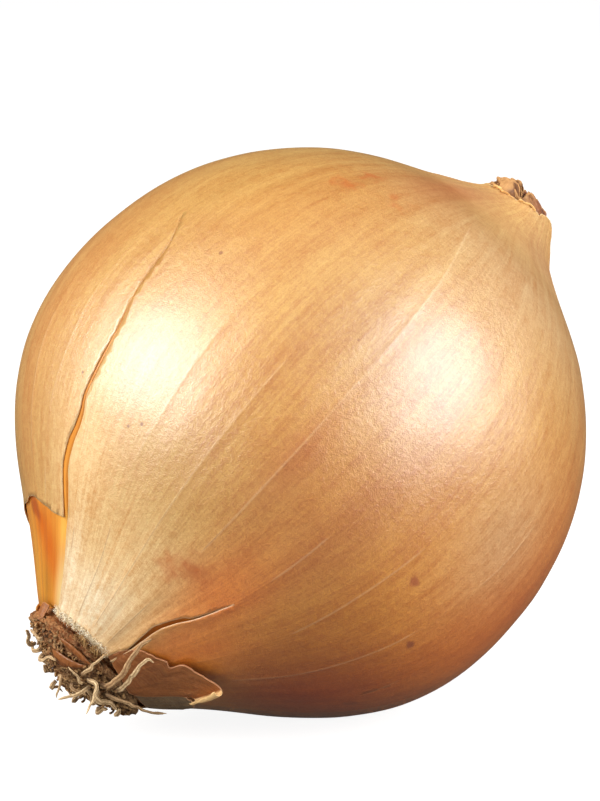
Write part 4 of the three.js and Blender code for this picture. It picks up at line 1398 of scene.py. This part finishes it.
# %% The flakes: finish, the solid it stands for, then the numbers of its patch
FLAKES = [
    (red_flake, "basal_flake", "loose_flake",
     [(166.4, 252.5, 0.35), (167, 262, 0.45), (167.4, 272, 0.6), (167.8, 283, 0.8),
      (167.6, 291, 0.9), (165.6, 297, 0.9), (161.2, 297.4, 1.2), (157.4, 298.8, 1.6)],
     [(164.6, 254, 0.25), (162.6, 257.2, 0.3), (160.2, 262.4, 0.4), (158.9, 269.5, 0.55),
      (157.8, 272.8, 0.65), (158, 277, 0.7), (155, 277, 0.9), (153.4, 282.7, 1.2),
      (151.7, 287.1, 1.6), (150.6, 291, 1.9)], 301, (0.05, 0.2), 0.1, (0.55, 215)),
    (grey_flake, "underside_scrap", "scrap_underneath",
     [(168, 300, 0.4), (167.2, 312, 0.45), (166.8, 322, 0.45), (166.2, 334, 0.3)],
     [(160.4, 303, 0.35), (158.6, 312, 0.45), (158.9, 322, 0.5), (160.6, 333, 0.3)],
     311, (0.25, 0.35), 0.14),
    (orange_flake, "collar_curl", "curl_at_collar",
     [(166.4, 176, 0.2), (166.2, 181, 0.3), (166.4, 187, 0.2)],
     [(168.2, 177, 1.2), (168.6, 181.5, 1.4), (168.2, 186, 1.1)],
     321, (0.03, 0.08), 0.1, None, CURL_STEPS),
    (red_flake, "rear_scrap", "scrap_behind",
     [(166.2, 44, 0.3), (166, 60, 0.4), (166.2, 80, 0.3)],
     [(159, 48, 0.6), (155.6, 62, 1), (159.6, 76, 0.4)], 331, (0.15, 0.3), 0.14),
]
for flake_finish, node, *numbers in FLAKES:
    finish_piece(flake(*numbers), flake_finish, "skin_flake", node)

# %% [markdown]
# ## The dried roots
#
# A dead onion root is a limp string that has shrunk: grooved along its length, a little
# flat, kinked, and thin at the tip. Its route comes from the solid model: a few places
# for the roots that lie over the flake, and one rule for the loose ones, which leave the
# plate, curl over and keep off the floor. A ring of points is carried along each route.
# The ring turns with the route, so that the grooves run straight along the root.

# %% The routes
GAP = 0.4                           # mm between pieces, as in the solid model
ROOT_LENGTHS, ROOT_RADII = (2.6, 5.2), (0.26, 0.4)
LOOSE_ROOTS, ROOT_TURN, GOLDEN_TURN = 16, 203, 137.508
ROOT_CURL = 4.4                     # how quickly a root turns over
ROOTED_RADIUS = 8.1
LEAF_BASE_ACROSS, LEAF_BASE_AROUND = 4.6, (208, 243)
FLOOR_CLEARANCE = 2.7
ROUTE_STEPS = 7
# the roots over the flake and along the plate: radius, then (way, around, lift) places
PLACED_ROOTS = [
    (0.28, (171.4, 250.5, 1.7), (169.1, 249.7, 2), (166.6, 249.6, 1.9), (165.4, 249.6, 1.3)),
    (0.42, (169.8, 268.6, 1.9), (168.3, 268.8, 2.4), (165.7, 265.8, 2.6), (163.5, 262.6, 2.4),
     (161.1, 259.4, 2.1), (158.5, 257.4, 1.7), (156, 257.6, 1.2)),
    (0.38, (167.9, 276.6, 2.1), (166.6, 274, 2.5), (165.1, 271.3, 2.6), (163.4, 268.4, 2.5),
     (162.2, 266.6, 2.5), (160.3, 264.8, 2.2), (158.7, 264.4, 2.1), (158.3, 266.8, 2.2)),
    (0.3, (171, 257, 2.1), (169.4, 261.5, 2.9), (170.2, 267.5, 3.8), (171.2, 272.2, 4.6),
     (171.8, 275.4, 5.4)),
    (0.26, (171.9, 265, 2), (173, 262.5, 3.2), (174.6, 259.5, 3.8), (176.2, 255, 4.1)),
    (0.27, (170.4, 279.5, 1.9), (169.3, 282.5, 2.3), (167.8, 289.5, 2.4), (166.1, 301.6, 2.3),
     (164.2, 312.4, 1.9), (163.2, 317, 1.6)),
    (0.27, (172.8, 256, 2), (171.2, 252.4, 3.1), (170.1, 246.5, 3.6), (170, 236.2, 3.5)),
    (0.26, (175.4, 228, 2), (173.2, 236, 3.3), (173.6, 243, 4.3), (174.6, 247, 5)),
]
DOWN = np.array([math.cos(lean), 0, -math.sin(lean)])


def mixed(root, use):
    """A repeatable number between 0 and 1 for each root and use."""
    wave = math.sin(12.9898 * (root + 1) + 78.233 * (use + 1)) * 43758.5453
    return wave - math.floor(wave)


def between(low, high, share):
    return low + (high - low) * share


def loose_route(root, around, across):
    place = at_turn(across, around, plate_face(across) - GAP - ROOT_RADII[1])
    spread, swirl = between(-0.3, 0.25, mixed(root, 1)), between(-1.1, 1.1, mixed(root, 2))
    step_length = between(*ROOT_LENGTHS, mixed(root, 3)) / ROUTE_STEPS
    heading, route = np.array([0, 0, -1.0]), [place]
    for _ in range(ROUTE_STEPS):
        outward = unit(place * (1, 1, 0))
        sideways = np.array([-outward[1], outward[0], 0])
        heading[2] += ROOT_CURL / ROUTE_STEPS
        heading = heading + outward * spread / 2 + sideways * swirl / 2
        near_floor = 1 - to_world(place, -9)[2] / FLOOR_CLEARANCE
        heading = unit(heading - DOWN * max(0, 1.5 * near_floor))
        near_plate = float(plate_face(min(across, PLATE_RADIUS))) - place[2] - 2 * GAP
        if heading[2] > near_plate:
            heading[2] = near_plate
            heading = unit(heading)
        place = place + heading * step_length
        route.append(place)
    return np.array(route)


routes = [(np.array([on_skin(*mark) for mark in marks]), radius) for radius, *marks in PLACED_ROOTS]
for root in range(LOOSE_ROOTS):
    around = (GOLDEN_TURN * root + ROOT_TURN) % 360
    across = ROOTED_RADIUS * math.sqrt((root + 0.6) / LOOSE_ROOTS)
    under = LEAF_BASE_AROUND[0] - 8 < around < LEAF_BASE_AROUND[1] + 8
    if not (under and across > LEAF_BASE_ACROSS - 0.8):
        routes.append((loose_route(root, around, across), between(*ROOT_RADII, mixed(root, 4))))
route_lengths = [float(lengths_along(route)[-1]) for route, _ in routes]
print(len(routes), "roots, from", round(min(route_lengths), 1), "to",
      round(max(route_lengths), 1), "mm long")

# %% A grooved root along a route
ROOT_RINGS, ROOT_SIDES = 46, 16
ROOT_SHADES = dict(enumerate((0.75, 0.35, 0.95, 1.0, 0.9, 0.55, 0.9, 0.7), start=1))


def add_root(name, route, radius, seed, floor=0.0):
    """The object, and how deep in a groove each point of its rings is."""
    line = smooth_line(route, 12)
    line, even = evened(line, lengths_along(line), ROOT_RINGS)
    share = np.linspace(0, 1, ROOT_RINGS)
    kinks = np.stack([soft_noise(np.stack([even / 0.8, 0 * even, 0 * even + axis], -1), seed)
                      for axis in range(3)], -1)
    line = line + 0.11 * kinks * np.minimum(1, 3 * share)[:, None]
    forward = unit(np.gradient(line, axis=0))
    first, firsts = np.cross(forward[0], (0.3, 0.5, 0.8)), []
    for ahead in forward:
        first = unit(first - ahead * (first @ ahead))
        firsts.append(first)
    seconds = np.cross(forward, firsts)
    turn = np.arange(ROOT_SIDES) * 2 * math.pi / ROOT_SIDES
    thick = radius * (1 + 0.18 * kinks[:, 0]) * (1 - 0.5 * share**1.6)
    thick = 1.18 * thick * np.minimum(1, 0.45 + 6 * (1 - share))
    groove = 0.5 + 0.5 * np.cos(4 * turn + 1.5 * kinks[:, 1:2])
    shape = thick[:, None] * (1 - 0.26 * groove)
    flat = 0.68 + 0.12 * kinks[:, 2:]
    rings = line[:, None] + (np.cos(turn) * shape)[..., None] * np.array(firsts)[:, None]
    rings = rings + (np.sin(turn) * shape * flat)[..., None] * seconds[:, None]
    faces = tube_faces(ROOT_RINGS, ROOT_SIDES)
    return add_object(name, to_world(tube_points(rings), floor), faces), groove


def make_root_material():
    finish = Finish("dried_root", paint(166, 120, 72), 0.7, specular=0.35)
    cells = finish.mottle(0.4, 0.5)
    finish.cover(paint(238, 208, 160), finish.value("shade"))
    dark = finish.darker(150, 124, 100)
    # painted shade: the grooves along the root are darkened
    finish.cover(dark, finish.ramp(finish.value("groove"), 0.35, 1.0, 0.0, 0.75))
    finish.cover(dark, cells, 0.45)
    finish.cover(paint(96, 66, 44), finish.ramp(finish.value("along"), 0.16, 0.0), 0.7)
    return finish.done(cells, 0.5, 0.06)


root_finish = make_root_material()
for number, (route, radius) in enumerate(routes, start=1):
    root, groove = add_root(f"dried_root_{number:02d}", route, radius, 400 + number, 0.15)
    along = np.repeat(np.linspace(0, 1, ROOT_RINGS), ROOT_SIDES)
    shade = ROOT_SHADES.get(number, 0.35 + 0.6 * mixed(number, 7))
    add_values(root, groove=capped(groove, 0.5, 0.5), along=capped(along, 0, 1),
               shade=np.full(len(along) + 2, shade))
    finish_piece(root, root_finish, "dried_root", f"root_{number:02d}")

# %% [markdown]
# ## Fuzz, root stubs and crumbs
#
# What makes the root end look real is small and many: the white fuzz where the papery
# skin is torn off, the stubs of broken roots on the plate, and crumbs of cork and soil.
# Such things are scattered by Geometry Nodes. One tree grows bent, tapered fibres on any
# surface and another strews crumbs; both have their sizes and seed as named inputs. The
# result is made a plain mesh, because instances are only a promise of geometry.

# %% What both trees do
def random_value(tree, low, high, seed, kind="FLOAT_VECTOR"):
    first, output = (0, 0) if kind == "FLOAT_VECTOR" else (2, 1)
    return tree.node("FunctionNodeRandomValue", {first: low, first + 1: high, "Seed": seed},
                     data_type=kind)[output]


def strew(tree, given, result, thing, tilt, scale):
    """Puts one thing on random places of the surface, each time tilted and scaled anew."""
    points = tree.node("GeometryNodeDistributePointsOnFaces", {
        "Mesh": given["Surface"], "Density": given["Density"], "Seed": given["Seed"]})
    things = tree.node("GeometryNodeInstanceOnPoints", {
        "Points": points["Points"], "Instance": thing, "Rotation": points["Rotation"]})[0]
    for kind, socket, value in (("Rotate", "Rotation", tilt), ("Scale", "Scale", scale)):
        things = tree.node(f"GeometryNode{kind}Instances", {"Instances": things, socket: value})[0]
    things = tree.node("GeometryNodeRealizeInstances", {"Geometry": things})[0]
    tree.put(result, tree.node("GeometryNodeSetMaterial", {
        "Geometry": things, "Material": given["Material"]})[0])
    return tree.tree


# %% The tree that grows fibres, and the one that strews crumbs
def make_fibre_tree():
    tree, given, result = new_group(
        "grown_fibres", "Geometry", "NodeSocketGeometry", Density=1e6, Seed=1, Length=0.001,
        Thickness=0.0001, Bend=0.5, Lean=0.6, Sides=4, Material=None)
    size, tilted = given["Length"], given["Lean"]
    bent = tree.times(size, given["Bend"])
    line = tree.node("GeometryNodeCurveQuadraticBezier", {
        "Resolution": 5, "Start": (0, 0, 0), "Middle": tree.vector(bent, 0.0, tree.times(size, 0.5)),
        "End": tree.vector(0.0, tree.times(bent, 0.6), size)})[0]
    along = tree.node("GeometryNodeSplineParameter")["Factor"]
    taper = tree.maths("MULTIPLY_ADD", along, -0.7, 1.0)
    line = tree.node("GeometryNodeSetCurveRadius", {"Curve": line, "Radius": taper})[0]
    ring = tree.node("GeometryNodeCurvePrimitiveCircle", {
        "Resolution": given["Sides"], "Radius": tree.times(given["Thickness"], 0.5)})[0]
    fibre = tree.node("GeometryNodeCurveToMesh", {
        "Curve": line, "Profile Curve": ring, "Fill Caps": True})[0]
    back = tree.times(tilted, -1.0)
    tilt = random_value(tree, tree.vector(back, back, 0.0), tree.vector(tilted, tilted, 2 * math.pi),
                        tree.maths("ADD", given["Seed"], 7.0))
    scale = random_value(tree, 0.35, 1.25, given["Seed"], "FLOAT")
    return strew(tree, given, result, fibre, tilt, scale)


def make_crumb_tree():
    tree, given, result = new_group("strewn_crumbs", "Geometry", "NodeSocketGeometry",
                                    Density=1e6, Seed=1, Size=0.0003, Material=None)
    crumb = tree.node("GeometryNodeMeshIcoSphere", {"Radius": given["Size"], "Subdivisions": 1})
    away = tree.vector_maths("SUBTRACT", 0, first=tree.noise("Color", Scale=2200.0, Detail=1.0),
                             second=(0.5, 0.5, 0.5))
    away = tree.vector_maths("SCALE", 0, first=away, scale=tree.times(given["Size"], 1.6))
    jagged = tree.node("GeometryNodeSetPosition", {"Geometry": crumb["Mesh"], "Offset": away})[0]
    tilt = random_value(tree, (0, 0, 0), (6.3, 6.3, 6.3), given["Seed"])
    scale = random_value(tree, (0.3, 0.3, 0.25), (1.2, 1.0, 0.8), given["Seed"])
    return strew(tree, given, result, jagged, tilt, scale)


fibre_tree, crumb_tree = make_fibre_tree(), make_crumb_tree()
print("trees:", fibre_tree.name, "and", crumb_tree.name)

# %% Growing on a patch of surface
def scatter(name, tree, surface, marks, turns, above, slot, finish, **values):
    """Grows a tree's pieces on a patch of a surface, and keeps only them. The marks are
    ways on the skin, or mm from the axis on the plate."""
    places = surface(*np.meshgrid(marks, turns, indexing="ij"), above)
    piece = add_object(name, to_world(places, 0.25), outward_faces(places))
    grown = piece.modifiers.new("grown", "NODES")
    grown.node_group = tree
    sockets = {item.name: item.identifier for item in tree.interface.items_tree
               if item.in_out == "INPUT"}
    for socket, value in {**values, "Material": finish}.items():
        grown[sockets[socket]] = value
    apply_modifiers(piece)
    finish_piece(piece, None, slot)


def make_plain_material(name, low, high, size, roughness):
    finish = Finish(name, paint(*low), roughness, specular=0.3)
    finish.cover(paint(*high), finish.mottle(size, 0.5))
    return finish.done()


fuzz_finish = make_plain_material("white_fuzz", (236, 216, 176), (255, 246, 224), 0.8, 0.8)
tuft_finish = make_plain_material("brown_fuzz", (126, 88, 52), (196, 156, 100), 0.9, 0.85)
stub_finish = make_plain_material("root_stub", (110, 74, 42), (184, 142, 92), 0.7, 0.75)
crumb_finish = make_plain_material("cork_crumb", (74, 50, 34), (186, 146, 98), 0.8, 0.9)
lip_finish = make_plain_material("rolled_lip", (206, 150, 84), (242, 194, 124), 0.6, 0.6)

# %% The fuzz, the stubs and the crumbs; each density is for a square metre
ALL_ROUND = np.arange(0, 361, 10.0)
scatter("collar_fuzz", fibre_tree, on_skin, (165.7, 166.4, 167.1), np.arange(196, 253, 1.5), 0.2,
        "papery_skin", fuzz_finish, Density=60e6, Seed=11, Length=0.42 * MM, Thickness=0.07 * MM,
        Bend=0.6, Lean=1.3, Sides=3)
scatter("collar_tufts", fibre_tree, on_skin, (166.4, 167.6), np.arange(224, 250, 1.5), 0.7,
        "root_plate", tuft_finish, Density=22e6, Seed=12, Length=0.7 * MM, Thickness=0.09 * MM,
        Bend=0.6, Lean=1.2, Sides=3)
scatter("root_stubs", fibre_tree, on_plate, np.linspace(0.8, 8.2, 12), ALL_ROUND, -0.1,
        "dried_root", stub_finish, Density=0.35e6, Seed=13, Length=1.0 * MM, Thickness=0.3 * MM,
        Bend=0.6, Lean=1.2, Sides=6)
scatter("plate_crumbs", crumb_tree, on_plate, np.linspace(0.8, 9.2, 12), ALL_ROUND, 0.1,
        "root_plate", crumb_finish, Density=1.5e6, Seed=14, Size=0.42 * MM)

# %% The rolled lips of the skin at the neck
for number, (first, last) in enumerate(((196, 227), (232, 257)), start=1):
    lip_turns = np.linspace(first, last, 8)
    route = on_skin(lip_way(lip_turns) + 0.3, lip_turns, 0.3)
    lip_roll, _ = add_root(f"rolled_lip_{number}", route, 0.2, 500 + number)
    finish_piece(lip_roll, lip_finish, "dried_neck")
